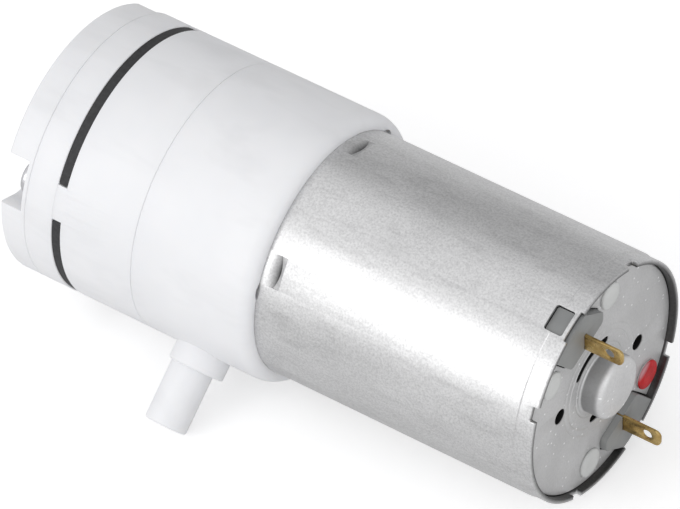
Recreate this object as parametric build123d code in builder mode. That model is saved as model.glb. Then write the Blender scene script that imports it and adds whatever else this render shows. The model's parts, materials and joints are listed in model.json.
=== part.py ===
"""A miniature diaphragm air pump on a small brushed DC motor.

The pump lies on a bench as it does when it is set down: X runs along the shaft, out of the motor's
terminal end, and Z is up. The origin is on the shaft's axis, halfway along the bare motor can.
The side nozzle droops below the horizontal until its tip meets the bench that the head lies on.

The motor turns a drive wheel with a slanted pin. The pin carries a three-armed frame, which rocks
round without spinning and works the three cups of one rubber diaphragm. Air comes in at the side
nozzle, through the crankcase and the inlet valves, and leaves through the outlet valve and the cap.

Lengths are in millimetres and angles in degrees. A roll is an angle round the shaft, counted from
the side nozzle by the right-hand rule about X.
"""

from build123d import *
from math import cos, degrees, radians, sin
import os

# Motor can
can_radius = 12.2
can_wall = 0.9
can_front_wall = 1.0
can_bare_length = 30.5
can_corner_radius = 1.0
can_boss_radius = 3.1
can_boss_length = 1.8
lip_step = 0.1
lip_land = 0.2
lip_wall = 0.5
motor_angle = 72.0
window_width = 2.6
window_length = 1.95
window_inset = 0.67
window_round = 0.25
window_shift_angle = 2.2
rim_notch_width = 1.5
rim_notch_depth = 0.6
rim_notch_angle = 44.5
gate_notch_width = 3.16
gate_notch_depth = 0.33
dent_width = 3.2
dent_length = 1.0
dent_ramp = 0.62
dent_depth = 0.55
dent_bump = 0.7
dent_inset = 0.7
dent_angle = 36.0

# Rear end plate and what it carries
plate_recess = 0.7
plate_thickness = 1.0
plate_clearance = 0.05
plate_boss_radius = 3.15
plate_boss_height = 2.25
plate_boss_cap = 0.5
plate_boss_round = 0.6
plate_boss_root = 0.3
plate_ring_radius = 4.85
plate_ring_width = 0.45
plate_ring_depth = 0.12
plate_slot_radius = 4.25
plate_slot_width = 0.62
plate_slot_half_angle = 32.5
plate_slot_shift_angle = -4.5
plate_hole_radius = 0.8
plate_hole_circle = 6.35
plate_hole_angle = 64.0
terminal_gate_margin = 0.1
terminal_gate_round = 0.6
terminal_gate_half_angle = 21.0
terminal_gate_shoulder = 9.2
terminal_gate_mouth = 1.2
post_radius = 1.1
post_inset = 2.1
post_angle = 32.0
post_head_radius = 1.45
post_head_height = 0.42
fit_clearance = 0.05
holder_thickness = 1.6
holder_bore = 4.8
paint_thickness = 0.08

# Terminals and brushes
terminal_inset = 3.25
terminal_width = 1.75
terminal_thickness = 0.38
terminal_round = 0.6
terminal_reach = 4.1
terminal_hole_radius = 0.5
terminal_hole_inset = 1.45
leaf_thickness = 0.2
leaf_width = 2.0
brush_height = 1.6
brush_width = 1.8
brush_gap = 0.05

# Bearings, shaft and armature
shaft_radius = 1.0
bearing_radius = 2.45
bearing_length = 2.4
running_clearance = 0.02
magnet_share = 0.2131
magnet_rear_space = 4.5
magnet_half_angle = 58.0
magnet_gap = 0.05
clip_thickness = 0.4
air_gap = 0.65
armature_front_space = 7.3
armature_rear_space = 0.9
pole_shoe_share = 0.1625
pole_half_angle = 50.0
pole_neck_share = 0.275
core_hub_share = 0.35
coil_clearance = 0.5
coil_overhang = 1.7
commutator_radius = 2.6
commutator_length = 3.6
commutator_hub_radius = 2.0
commutator_slit = 0.3
washer_radius = 2.0
washer_thickness = 0.4

# Pump head
head_overhang = 1.3
head_wall = 1.6
head_lip_length = 1.5
head_lip_land = 0.12
socket_depth = 0.6
socket_clearance = 0.08
floor_thickness = 2.6
crankcase_length = 13.1
block_length = 8.1
deck_thickness = 2.4
diaphragm_thickness = 1.0
diaphragm_inset = 0.12
diaphragm_corner = 0.3
valve_plate_thickness = 3.1
cap_thickness = 2.8
seam_round = 0.12

# Screws
screw_inset = 2.5
screw_angle = 60.0
column_radius = 2.0
relief_radius = 1.65
relief_depth = 0.9
cap_screw_radius = 1.0
cap_screw_core = 0.8
cap_screw_bite = 6.0
cap_screw_head_radius = 1.75
cap_screw_head_height = 1.1
cap_floor = 0.4
screw_hole_clearance = 0.1
pocket_width = 5.2
lug_half_angle = 7.6
motor_screw_inset = 3.0
motor_screw_offset_angle = 30.0
motor_screw_radius = 1.25
motor_screw_head_radius = 1.9
motor_screw_head_height = 1.5
cross_width = 0.5
cross_length = 2.0
cross_depth = 0.6

# Nozzles
nozzle_droop_angle = 33.7
nozzle_setback = 7.75
nozzle_radius = 2.1
nozzle_bore = 1.2
nozzle_length = 7.7
nozzle_boss_radius = 2.75
nozzle_boss_height = 1.75
nozzle_boss_shift = 0.35
nozzle_boss_round = 0.28
nozzle_tip_round = 0.3
outlet_length = 4.6

# Rocking drive
swing_angle = 7.0
swing_centre_depth = 3.2
cup_count = 3
cup_bore_clearance = 0.5
cup_mouth_radius = 3.9
cup_floor_radius = 3.2
cup_wall = 0.55
cup_floor = 1.0
stem_radius = 0.6
stem_bulb_radius = 1.15
stem_bulb_height = 1.0
stem_taper_angle = 24.0
arm_near = 1.5
arm_thickness = 1.4
arm_width = 3.2
arm_hole_radius = 0.95
arm_gap = 0.05
swing_hub_radius = 2.5
swing_hub_length = 5.0
swing_hub_cap = 0.6
pin_radius = 0.75
pin_clearance = 0.03
wheel_radius = 5.4
wheel_gap = 1.1
wheel_web = 0.4
wheel_clearance = 0.4
wheel_balance_cut = 1.6

# Valves and the passages between them
valve_pocket_inset = 0.3
valve_pocket_depth = 0.9
valve_stem_radius = 0.5
valve_disc_thickness = 0.4
valve_bulb_height = 0.6
valve_bulb_radius = 0.75
valve_bulb_room = 0.15
inlet_valve_radius = 1.9
inlet_hole_radius = 0.4
inlet_hole_circle = 1.1
valve_margin = 0.15
outlet_hole_radius = 0.55
outlet_chamber_gap = 0.7
chamber_depth = 1.5
seal_width = 0.9
seal_height = 0.7
seal_groove_depth = 0.6
plenum_wall = 0.8
plenum_skin = 1.4
transfer_radius = 0.7
transfer_angle = 30.0

# Radii and circles that follow from them
can_inside = can_radius - can_wall
plate_seat_radius = can_radius - lip_step - lip_wall
terminal_circle = plate_seat_radius - terminal_inset
terminal_gate_inner = terminal_circle - terminal_width / 2 - terminal_gate_margin
post_circle = plate_seat_radius - post_inset
magnet_outside = can_inside - fit_clearance
magnet_inside = magnet_outside - can_radius * magnet_share
armature_radius = magnet_inside - air_gap
pole_shoe_thickness = armature_radius * pole_shoe_share
pole_neck_width = armature_radius * pole_neck_share
core_hub_radius = armature_radius * core_hub_share
coil_inner = core_hub_radius + coil_clearance
coil_depth = armature_radius - pole_shoe_thickness - coil_inner - coil_clearance
coil_width = pole_neck_width + 2 * pole_shoe_thickness
head_radius = can_radius + head_overhang
head_inside = head_radius - head_wall
head_lip_rise = head_overhang - socket_clearance - head_lip_land
nozzle_reach = head_radius + nozzle_length
nozzle_boss_reach = head_radius + nozzle_boss_height
screw_circle = head_radius - screw_inset
motor_screw_circle = screw_circle - motor_screw_inset
lug_inner = screw_circle - column_radius
cup_circle = swing_hub_radius + cup_mouth_radius
cup_bore = cup_mouth_radius + cup_bore_clearance
valve_pocket_radius = cup_mouth_radius - valve_pocket_inset
outlet_hole_circle = cup_circle - valve_pocket_radius + outlet_hole_radius + valve_margin
outlet_valve_radius = outlet_hole_circle + outlet_hole_radius + valve_margin
outlet_chamber_radius = outlet_valve_radius + outlet_chamber_gap
plenum_inner = outlet_chamber_radius + seal_width + plenum_wall
plenum_outer = head_radius - plenum_skin
inlet_valve_circle = plenum_inner + valve_bulb_radius + valve_margin
transfer_circle = screw_circle

# Stations along the shaft
rear_rim = can_bare_length / 2
head_lip = -can_bare_length / 2
can_front = head_lip - socket_depth
can_front_inner = can_front + can_front_wall
plate_outer = rear_rim - plate_recess
plate_inner = plate_outer - plate_thickness
plate_boss_top = plate_outer + plate_boss_height
window_station = rear_rim - window_inset - window_length / 2
lip_start = plate_inner - lip_land
holder_inner = plate_inner - holder_thickness
holder_top = rear_rim - fit_clearance
terminal_tip = holder_top + terminal_reach
commutator_rear = holder_inner + holder_thickness / 2
commutator_front = commutator_rear - commutator_length
armature_rear = commutator_front - armature_rear_space - coil_overhang
armature_front = can_front_inner + armature_front_space
armature_length = armature_rear - armature_front
dent_near = can_front_inner + dent_inset
magnet_front = dent_near + dent_length + magnet_gap
magnet_length = holder_inner - magnet_rear_space - magnet_front
floor_inner = can_front - floor_thickness
block_seam = head_lip - crankcase_length
block_top = block_seam - block_length
deck_under = block_top + deck_thickness
valve_face = block_top - diaphragm_thickness
bulb_pocket_depth = valve_bulb_height + valve_bulb_room
cap_seam = valve_face - valve_plate_thickness
cap_face = cap_seam - cap_thickness
swing_centre = block_top + swing_centre_depth
swing_hub_top = swing_hub_length * cos(radians(swing_angle)) + swing_hub_radius * sin(radians(swing_angle))
wheel_front = floor_inner - motor_screw_head_height - wheel_clearance
wheel_back = swing_centre + swing_hub_top + wheel_gap
wheel_length = wheel_front - wheel_back
pin_start = wheel_back + wheel_length / 2
shaft_front = pin_start + wheel_web
shaft_rear = plate_boss_top - plate_boss_cap - wheel_clearance

# Directions and working planes
shaft_direction = Vector(1, 0, 0)
nozzle_direction = Vector(0, -cos(radians(nozzle_droop_angle)), -sin(radians(nozzle_droop_angle)))
cup_rolls = [360 / cup_count * i for i in range(cup_count)]
screw_rolls = [screw_angle + 360 / cup_count * i for i in range(cup_count)]
side_rolls = [motor_angle, motor_angle + 180]
motor_screw_angle = screw_angle + motor_screw_offset_angle


def outward(roll):
    """The direction square to the shaft at a roll."""
    return nozzle_direction.rotate(Axis.X, roll)


def across(station, roll=0.0):
    """A plane square to the shaft, with its own X at a roll and its normal along the shaft."""
    return Plane(origin=(station, 0, 0), x_dir=outward(roll), z_dir=shaft_direction)


def along(roll):
    """A plane that holds the shaft: its own X is the shaft's and its own Y points outward at a roll."""
    return Plane(origin=(0, 0, 0), x_dir=shaft_direction, z_dir=shaft_direction.cross(outward(roll)))


def radial(station, roll, reach=0.0):
    """A plane that faces outward at a roll, with its own X along the shaft."""
    return Plane(origin=Vector(station, 0, 0) + outward(roll) * reach, x_dir=shaft_direction, z_dir=outward(roll))


def sector(inner, outer, half_angle):
    """The corners of a wedge of a ring about its own X, its outer edge left straight beyond the ring."""
    far = outer / cos(radians(half_angle))
    near = inner / cos(radians(half_angle))
    rise = sin(radians(half_angle))
    run = cos(radians(half_angle))
    return [(near * run, -near * rise), (far * run, -far * rise), (far * run, far * rise), (near * run, near * rise)]


def gate(inner, outer, half_angle, inset=0.0):
    """The corners of a terminal gate: a wedge whose one side turns in from its shoulder towards the rim."""
    corners = sector(inner, outer, half_angle)
    shoulder = Vector(terminal_gate_shoulder, 0).rotate(Axis.Z, -half_angle)
    return [corners[0], (shoulder.X, shoulder.Y), (outer, inset - terminal_gate_mouth)] + corners[2:]


def finish(piece, name):
    """Names a finished piece and writes it to its own file."""
    piece.part.label = name
    export_step(piece.part, f"parts/{name}.step")


os.makedirs("parts", exist_ok=True)

# Motor can: a drawn steel cup with a bearing boss, magnet stops, windows and staking notches. Its own
# seam lies a quarter turn from the windows.
with BuildPart() as motor_can:
    with BuildSketch(along(motor_angle + 90)):
        with BuildLine():
            Polyline(
                (can_front - can_boss_length, bearing_radius),
                (can_front - can_boss_length, can_boss_radius),
                (can_front, can_boss_radius),
                (can_front, can_radius - can_corner_radius),
            )
            RadiusArc(
                (can_front, can_radius - can_corner_radius),
                (can_front + can_corner_radius, can_radius),
                can_corner_radius,
            )
            Polyline(
                (can_front + can_corner_radius, can_radius),
                (lip_start, can_radius),
                (lip_start + lip_step, can_radius - lip_step),
                (rear_rim, can_radius - lip_step),
                (rear_rim, plate_seat_radius),
                (plate_inner, plate_seat_radius),
                (plate_inner, can_inside),
                (can_front_inner, can_inside),
                (can_front_inner, bearing_radius),
                (can_front - can_boss_length, bearing_radius),
            )
        make_face()
    revolve(axis=Axis.X)
    for roll in side_rolls:
        for dent in (roll - dent_angle, roll + dent_angle):
            with BuildSketch(along(dent)):
                with Locations((dent_near + dent_length / 2, can_inside)):
                    Rectangle(dent_length, 2 * dent_bump)
            extrude(amount=dent_width / 2, both=True)
            with BuildSketch(along(dent)):
                Polygon(
                    (dent_near, can_radius),
                    (dent_near, can_radius + can_wall),
                    (dent_near + dent_length, can_radius + can_wall),
                    (dent_near + dent_length, can_radius),
                    (dent_near + dent_ramp, can_radius - dent_depth),
                    align=None,
                )
            extrude(amount=dent_width / 2, both=True, mode=Mode.SUBTRACT)
        with BuildSketch(radial(window_station, roll + window_shift_angle)):
            RectangleRounded(window_length, window_width, window_round)
        extrude(amount=can_radius + can_wall, mode=Mode.SUBTRACT)
        with BuildSketch(radial(rear_rim, roll + window_shift_angle)):
            Rectangle(2 * gate_notch_depth, gate_notch_width)
        extrude(amount=can_radius + can_wall, mode=Mode.SUBTRACT)
        for notch in (roll - rim_notch_angle, roll + rim_notch_angle):
            with BuildSketch(radial(rear_rim, notch)):
                Rectangle(2 * rim_notch_depth, rim_notch_width)
            extrude(amount=can_radius + can_wall, mode=Mode.SUBTRACT)
    with BuildSketch(across(can_front, motor_screw_angle)):
        with PolarLocations(motor_screw_circle, 2):
            Circle(motor_screw_radius)
    extrude(amount=can_front_wall, mode=Mode.SUBTRACT)
finish(motor_can, "motor_can")

# Bearings: sintered bushes, one in the can's boss and one in the end plate's
with BuildPart() as front_bearing:
    with BuildSketch(across(can_front - can_boss_length)):
        Circle(bearing_radius)
        Circle(shaft_radius + running_clearance, mode=Mode.SUBTRACT)
    extrude(amount=bearing_length)
    chamfer(front_bearing.edges().filter_by(GeomType.CIRCLE).group_by(SortBy.RADIUS)[-1], shaft_radius / 5)
finish(front_bearing, "front_bearing")

with BuildPart() as rear_bearing:
    with BuildSketch(across(plate_inner)):
        Circle(bearing_radius)
        Circle(shaft_radius + running_clearance, mode=Mode.SUBTRACT)
    extrude(amount=bearing_length)
    chamfer(rear_bearing.edges().filter_by(GeomType.CIRCLE).group_by(SortBy.RADIUS)[-1], shaft_radius / 5)
finish(rear_bearing, "rear_bearing")

# Magnets: two ferrite arcs against the can, behind the stops
for side, roll in zip(("positive", "negative"), side_rolls):
    with BuildPart() as magnet:
        with BuildSketch(across(magnet_front, roll)):
            with BuildLine():
                CenterArc((0, 0), magnet_outside, -magnet_half_angle, 2 * magnet_half_angle)
                CenterArc((0, 0), magnet_inside, -magnet_half_angle, 2 * magnet_half_angle)
                for angle in (-magnet_half_angle, magnet_half_angle):
                    Line(Vector(magnet_inside, 0).rotate(Axis.Z, angle), Vector(magnet_outside, 0).rotate(Axis.Z, angle))
            make_face()
        extrude(amount=magnet_length)
    finish(magnet, f"magnet_{side}")

# Magnet clips: two bent strips that spread the magnets apart
clip_half_angle = 90 - magnet_half_angle - degrees((clip_thickness / 2 + fit_clearance) / magnet_inside)
with BuildPart() as magnet_clips:
    for roll in side_rolls:
        with BuildSketch(across(magnet_front, roll + 90)):
            with BuildLine():
                clip_arc = CenterArc((0, 0), magnet_outside - clip_thickness, -clip_half_angle, 2 * clip_half_angle)
                for angle in (-clip_half_angle, clip_half_angle):
                    Line(
                        Vector(magnet_outside - clip_thickness, 0).rotate(Axis.Z, angle),
                        Vector(magnet_inside + clip_thickness, 0).rotate(Axis.Z, angle),
                    )
            trace(line_width=clip_thickness)
        extrude(amount=magnet_length)
finish(magnet_clips, "magnet_clips")

# End plate: a disc in the can's lip, with a closed bearing boss and gates for the terminals
with BuildPart() as end_plate:
    with BuildSketch(Plane.XY):
        Polygon(
            (plate_inner, bearing_radius),
            (plate_inner, plate_seat_radius - plate_clearance),
            (plate_outer, plate_seat_radius - plate_clearance),
            (plate_outer, plate_boss_radius),
            (plate_boss_top, plate_boss_radius),
            (plate_boss_top, 0),
            (plate_boss_top - plate_boss_cap, 0),
            (plate_boss_top - plate_boss_cap, bearing_radius),
            align=None,
        )
    revolve(axis=Axis.X)
    fillet(end_plate.edges().filter_by(GeomType.CIRCLE).sort_by(Axis.X)[-1], plate_boss_round)
    root_edge = end_plate.edges().filter_by(
        lambda edge: edge.geom_type == GeomType.CIRCLE
        and abs(edge.radius - plate_boss_radius) < plate_clearance
        and abs(edge.center().X - plate_outer) < plate_clearance
    )
    fillet(root_edge, plate_boss_root)
    with BuildSketch(across(plate_outer)):
        Circle(plate_ring_radius + plate_ring_width / 2)
        Circle(plate_ring_radius - plate_ring_width / 2, mode=Mode.SUBTRACT)
    extrude(amount=-plate_ring_depth, mode=Mode.SUBTRACT)
    for roll in side_rolls:
        with BuildSketch(across(plate_inner, roll)) as openings:
            Polygon(*gate(terminal_gate_inner, can_radius, terminal_gate_half_angle), align=None)
            fillet(openings.vertices().sort_by(Axis.X)[:2], terminal_gate_round)
            with BuildLine() as slot_line:
                CenterArc(
                    (0, 0), plate_slot_radius, plate_slot_shift_angle - plate_slot_half_angle, 2 * plate_slot_half_angle
                )
            SlotArc(slot_line.edge(), plate_slot_width)
            for angle in (-post_angle, post_angle):
                with Locations(Vector(post_circle, 0).rotate(Axis.Z, angle)):
                    Circle(post_radius + fit_clearance)
            with Locations(Vector(plate_hole_circle, 0).rotate(Axis.Z, plate_hole_angle)):
                Circle(plate_hole_radius)
        extrude(amount=plate_thickness, mode=Mode.SUBTRACT)
finish(end_plate, "end_plate")

# Brush holder: a moulded disc behind the end plate, staked to it by four posts
with BuildPart() as brush_holder:
    with BuildSketch(across(holder_inner)):
        Circle(can_inside - fit_clearance)
        Circle(holder_bore, mode=Mode.SUBTRACT)
        for roll in side_rolls:
            with Locations(Vector(plate_hole_circle, 0).rotate(Axis.Z, roll + plate_hole_angle)):
                Circle(plate_hole_radius, mode=Mode.SUBTRACT)
    extrude(amount=holder_thickness)
    for roll in side_rolls:
        with BuildSketch(across(plate_inner, roll)) as gate_block:
            Polygon(
                *gate(terminal_gate_inner + 2 * fit_clearance, plate_seat_radius, terminal_gate_half_angle - 1, 2 * fit_clearance),
                align=None,
            )
            fillet(gate_block.vertices().sort_by(Axis.X)[:2], terminal_gate_round)
            Circle(plate_seat_radius - fit_clearance, mode=Mode.INTERSECT)
        extrude(amount=holder_top - plate_inner)
        with BuildSketch(radial(window_station, roll + window_shift_angle, can_inside - can_wall)):
            RectangleRounded(window_length - 3 * fit_clearance, window_width - 3 * fit_clearance, window_round)
        extrude(amount=2 * can_wall - 4 * lip_step)
        for angle in (-post_angle, post_angle):
            post_at = Vector(post_circle, 0).rotate(Axis.Z, angle)
            with BuildSketch(across(plate_inner, roll)):
                with Locations(post_at):
                    Circle(post_radius)
            extrude(amount=plate_thickness)
            with BuildSketch(across(plate_outer, roll)):
                with Locations(post_at):
                    Circle(post_head_radius)
            extrude(amount=post_head_height)
        with BuildSketch(across(holder_inner, roll)):
            with Locations((terminal_circle, 0)):
                Rectangle(terminal_width + 2 * fit_clearance, terminal_thickness + 2 * fit_clearance)
        extrude(amount=holder_top - holder_inner, mode=Mode.SUBTRACT)
    post_edges = brush_holder.edges().filter_by(GeomType.CIRCLE).filter_by(
        lambda edge: abs(edge.radius - post_head_radius) < fit_clearance and edge.center().X > plate_outer + fit_clearance
    )
    fillet(post_edges, post_head_height / 2)
finish(brush_holder, "brush_holder")

# Polarity mark: a dab of paint on the staked post beside the positive terminal
with BuildPart() as polarity_mark:
    with BuildSketch(across(plate_outer + post_head_height, motor_angle)):
        with Locations(Vector(post_circle, 0).rotate(Axis.Z, post_angle)):
            Circle(post_head_radius - post_head_height / 2)
    extrude(amount=paint_thickness)
finish(polarity_mark, "polarity_mark")

# Terminals: brass blades with an eyelet, and the leaf springs and carbon brushes behind them
brush_back = commutator_radius + brush_gap + brush_height
leaf_bend = (terminal_circle - brush_back - leaf_thickness / 2) / 2
for side, roll in zip(("positive", "negative"), side_rolls):
    with BuildPart() as terminal:
        with BuildSketch(radial(0, roll + 90, -terminal_thickness / 2)):
            with Locations(((terminal_tip + commutator_front) / 2, terminal_circle)):
                RectangleRounded(terminal_tip - commutator_front, terminal_width, terminal_round)
            with Locations((terminal_tip - terminal_hole_inset, terminal_circle)):
                Circle(terminal_hole_radius, mode=Mode.SUBTRACT)
        extrude(amount=terminal_thickness)
    finish(terminal, f"terminal_{side}")

    leaf_root = terminal_thickness / 2 + leaf_thickness / 2
    leaf_mid = terminal_circle - leaf_bend
    with BuildPart() as leaf:
        with BuildSketch(across(commutator_front + fit_clearance, roll)):
            with BuildLine():
                stub = Line((terminal_circle + terminal_width / 2, leaf_root), (terminal_circle, leaf_root))
                fold = Line((terminal_circle, leaf_root), (terminal_circle, leaf_root + leaf_bend))
                turn = CenterArc((leaf_mid, leaf_root + leaf_bend), leaf_bend, 0, 180)
                back = Line(turn @ 1, (leaf_mid - leaf_bend, -brush_width / 2))
            trace(line_width=leaf_thickness)
        extrude(amount=leaf_width)
    finish(leaf, f"brush_spring_{side}")

    with BuildPart() as brush:
        with BuildSketch(across(commutator_front + leaf_width / 4, roll)):
            with Locations((brush_back, 0)):
                Rectangle(2 * brush_height, brush_width, align=(Align.MAX, Align.CENTER))
            Circle(commutator_radius + brush_gap, mode=Mode.SUBTRACT)
            Rectangle(2 * brush_height, brush_width, align=(Align.MAX, Align.CENTER), mode=Mode.SUBTRACT)
        extrude(amount=leaf_width / 2 + leaf_width / 4)
    finish(brush, f"carbon_brush_{side}")

# Rotor: shaft, three-pole core, coils, commutator and thrust washers
with BuildPart() as motor_shaft:
    with BuildSketch(across(shaft_front)):
        Circle(shaft_radius)
    extrude(amount=shaft_rear - shaft_front)
    chamfer(motor_shaft.edges().filter_by(GeomType.CIRCLE), shaft_radius / 5)
finish(motor_shaft, "motor_shaft")

pole_rolls = [120 * i for i in range(3)]
with BuildPart() as armature_core:
    with BuildSketch(across(armature_front)):
        Circle(core_hub_radius)
        for roll in pole_rolls:
            with Locations(Rot(0, 0, roll)):
                Rectangle(armature_radius - pole_shoe_thickness / 2, pole_neck_width, align=(Align.MIN, Align.CENTER))
            with BuildLine(Plane.XY.rotated((0, 0, roll)), mode=Mode.PRIVATE) as shoe:
                outer = CenterArc((0, 0), armature_radius, -pole_half_angle, 2 * pole_half_angle)
                inner = CenterArc((0, 0), armature_radius - pole_shoe_thickness, -pole_half_angle, 2 * pole_half_angle)
                Line(outer @ 0, inner @ 0)
                Line(outer @ 1, inner @ 1)
            make_face(shoe.edges())
        Circle(shaft_radius, mode=Mode.SUBTRACT)
    extrude(amount=armature_length)
finish(armature_core, "armature_core")

with BuildPart() as armature_coils:
    for roll in pole_rolls:
        with BuildSketch(radial(armature_front + armature_length / 2, roll, coil_inner)):
            RectangleRounded(armature_length + 2 * coil_overhang, coil_width, coil_overhang)
            Rectangle(armature_length + 2 * fit_clearance, pole_neck_width + 2 * fit_clearance, mode=Mode.SUBTRACT)
        extrude(amount=coil_depth)
finish(armature_coils, "armature_coils")

with BuildPart() as commutator_hub:
    with BuildSketch(across(armature_rear + coil_overhang / 2)):
        Circle(commutator_hub_radius)
        Circle(shaft_radius, mode=Mode.SUBTRACT)
    extrude(amount=commutator_rear - armature_rear - coil_overhang / 2)
finish(commutator_hub, "commutator_hub")

with BuildPart() as commutator_segments:
    with BuildSketch(across(commutator_front)):
        Circle(commutator_radius)
        Circle(commutator_hub_radius, mode=Mode.SUBTRACT)
        for roll in pole_rolls:
            with Locations(Rot(0, 0, roll + 60)):
                Rectangle(2 * commutator_radius, commutator_slit, align=(Align.MIN, Align.CENTER), mode=Mode.SUBTRACT)
    extrude(amount=commutator_length)
finish(commutator_segments, "commutator_segments")

with BuildPart() as thrust_washers:
    for station in (can_front - can_boss_length - washer_thickness - fit_clearance, plate_inner - washer_thickness - fit_clearance):
        with BuildSketch(across(station)):
            Circle(washer_radius)
            Circle(shaft_radius, mode=Mode.SUBTRACT)
        extrude(amount=washer_thickness)
finish(thrust_washers, "thrust_washers")

# Rocking frame of reference: the pin's axis, tipped towards the side nozzle
tip_axis = Axis((0, 0, 0), shaft_direction.cross(nozzle_direction))
swing_direction = shaft_direction.rotate(tip_axis, swing_angle)
swing_origin = Vector(swing_centre, 0, 0)


def swing(height=0.0):
    """A plane square to the slanted pin, at a height above the rocking centre towards the motor."""
    return Plane(
        origin=swing_origin + swing_direction * height,
        x_dir=nozzle_direction.rotate(tip_axis, swing_angle),
        z_dir=swing_direction,
    )


pin_reach = (pin_start - swing_centre) / cos(radians(swing_angle))

# Drive wheel: pressed on the shaft, with a flat cut away to balance the pin
with BuildPart() as drive_wheel:
    with BuildSketch(across(wheel_back)):
        Circle(wheel_radius)
    extrude(amount=wheel_length)
    with BuildSketch(across(wheel_back)):
        with Locations((wheel_radius - wheel_balance_cut, 0)):
            Rectangle(wheel_radius, 2 * wheel_radius, align=(Align.MIN, Align.CENTER))
    extrude(amount=wheel_length / 2, mode=Mode.SUBTRACT)
    with BuildSketch(across(shaft_front)):
        Circle(shaft_radius)
    extrude(amount=wheel_length, mode=Mode.SUBTRACT)
    with BuildSketch(swing()):
        Circle(pin_radius)
    extrude(amount=pin_reach, mode=Mode.SUBTRACT)
    chamfer(drive_wheel.edges().filter_by(GeomType.CIRCLE).sort_by(Axis.X)[-1], wheel_clearance)
finish(drive_wheel, "drive_wheel")

with BuildPart() as drive_pin:
    with BuildSketch(swing(swing_hub_cap)):
        Circle(pin_radius)
    extrude(amount=pin_reach - swing_hub_cap)
    fillet(drive_pin.edges().sort_by(SortBy.DISTANCE).filter_by(GeomType.CIRCLE).sort_by(Axis.X)[0], pin_radius / 3)
finish(drive_pin, "drive_pin")

# Swing frame: a hub on the slanted pin and one arm for each cup
with BuildPart() as swing_frame:
    with BuildSketch(swing()):
        Circle(swing_hub_radius)
    extrude(amount=swing_hub_length)
    with BuildSketch(swing(arm_near)):
        for roll in cup_rolls:
            with Locations(Rot(0, 0, roll)):
                Rectangle(cup_circle, arm_width, align=(Align.MIN, Align.CENTER))
            with Locations(Rot(0, 0, roll) * Pos(cup_circle, 0, 0)):
                Circle(arm_width / 2)
    extrude(amount=arm_thickness)
    with BuildSketch(swing(arm_near)):
        with PolarLocations(cup_circle, cup_count):
            Circle(arm_hole_radius)
    extrude(amount=arm_thickness, mode=Mode.SUBTRACT)
    with BuildSketch(swing(swing_hub_cap - fit_clearance)):
        Circle(pin_radius + pin_clearance)
    extrude(amount=swing_hub_length, mode=Mode.SUBTRACT)
finish(swing_frame, "swing_frame")

# Crankcase: the housing that takes the motor, with the side nozzle and three screw columns
nozzle_station = head_lip - nozzle_setback
with BuildPart() as crankcase:
    with BuildSketch(Plane.XY):
        with BuildLine():
            Polyline(
                (can_front, can_boss_radius + fit_clearance),
                (can_front, can_radius + socket_clearance),
                (head_lip, can_radius + socket_clearance),
                (head_lip, head_radius - head_lip_rise),
            )
            EllipticalCenterArc(
                (head_lip - head_lip_length, head_radius - head_lip_rise),
                head_lip_length,
                head_lip_rise,
                arc_size=90,
            )
            Polyline(
                (head_lip - head_lip_length, head_radius),
                (block_seam + seam_round, head_radius),
                (block_seam, head_radius - seam_round),
                (block_seam, head_inside),
                (floor_inner, head_inside),
                (floor_inner, can_boss_radius + fit_clearance),
                (can_front, can_boss_radius + fit_clearance),
            )
        make_face()
    revolve(axis=Axis.X)
    with BuildSketch(across(block_seam, screw_angle)):
        with PolarLocations(screw_circle, cup_count):
            Circle(column_radius)
    extrude(amount=floor_inner - block_seam)
    with BuildSketch(radial(nozzle_station + nozzle_boss_shift, 0, head_inside)):
        Circle(nozzle_boss_radius)
    extrude(amount=nozzle_boss_reach - head_inside)
    fillet(crankcase.faces().sort_by(Axis((0, 0, 0), nozzle_direction))[-1].edges(), nozzle_boss_round)
    with BuildSketch(radial(nozzle_station, 0, head_inside)):
        Circle(nozzle_radius)
    extrude(amount=nozzle_reach - head_inside)
    fillet(crankcase.faces().sort_by(Axis((0, 0, 0), nozzle_direction))[-1].edges(), nozzle_tip_round)
    with BuildSketch(across(block_seam, screw_angle)):
        with PolarLocations(screw_circle, cup_count):
            Circle(cap_screw_core)
    extrude(amount=cap_screw_bite + fit_clearance, mode=Mode.SUBTRACT)
    with BuildSketch(across(head_lip, screw_angle)):
        with PolarLocations(screw_circle, cup_count):
            Circle(relief_radius)
    extrude(amount=-relief_depth, mode=Mode.SUBTRACT)
    with BuildSketch(across(floor_inner, motor_screw_angle)):
        with PolarLocations(motor_screw_circle, 2):
            Circle(motor_screw_radius + screw_hole_clearance)
    extrude(amount=floor_thickness, mode=Mode.SUBTRACT)
    with BuildSketch(radial(nozzle_station, 0, cup_circle)):
        Circle(nozzle_bore)
    extrude(amount=nozzle_reach - cup_circle, mode=Mode.SUBTRACT)
finish(crankcase, "crankcase")

# Motor screws: they pull the crankcase's floor against the can
with BuildPart() as motor_screws:
    with BuildSketch(across(floor_inner - motor_screw_head_height, motor_screw_angle)):
        with PolarLocations(motor_screw_circle, 2):
            Circle(motor_screw_head_radius)
    extrude(amount=motor_screw_head_height)
    with BuildSketch(across(floor_inner, motor_screw_angle)):
        with PolarLocations(motor_screw_circle, 2):
            Circle(motor_screw_radius)
    extrude(amount=floor_thickness + can_front_wall)
    with BuildSketch(across(floor_inner - motor_screw_head_height, motor_screw_angle)):
        with PolarLocations(motor_screw_circle, 2):
            Rectangle(cross_length, cross_width)
            Rectangle(cross_width, cross_length)
    extrude(amount=cross_depth, mode=Mode.SUBTRACT)
finish(motor_screws, "motor_screws")

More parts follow.
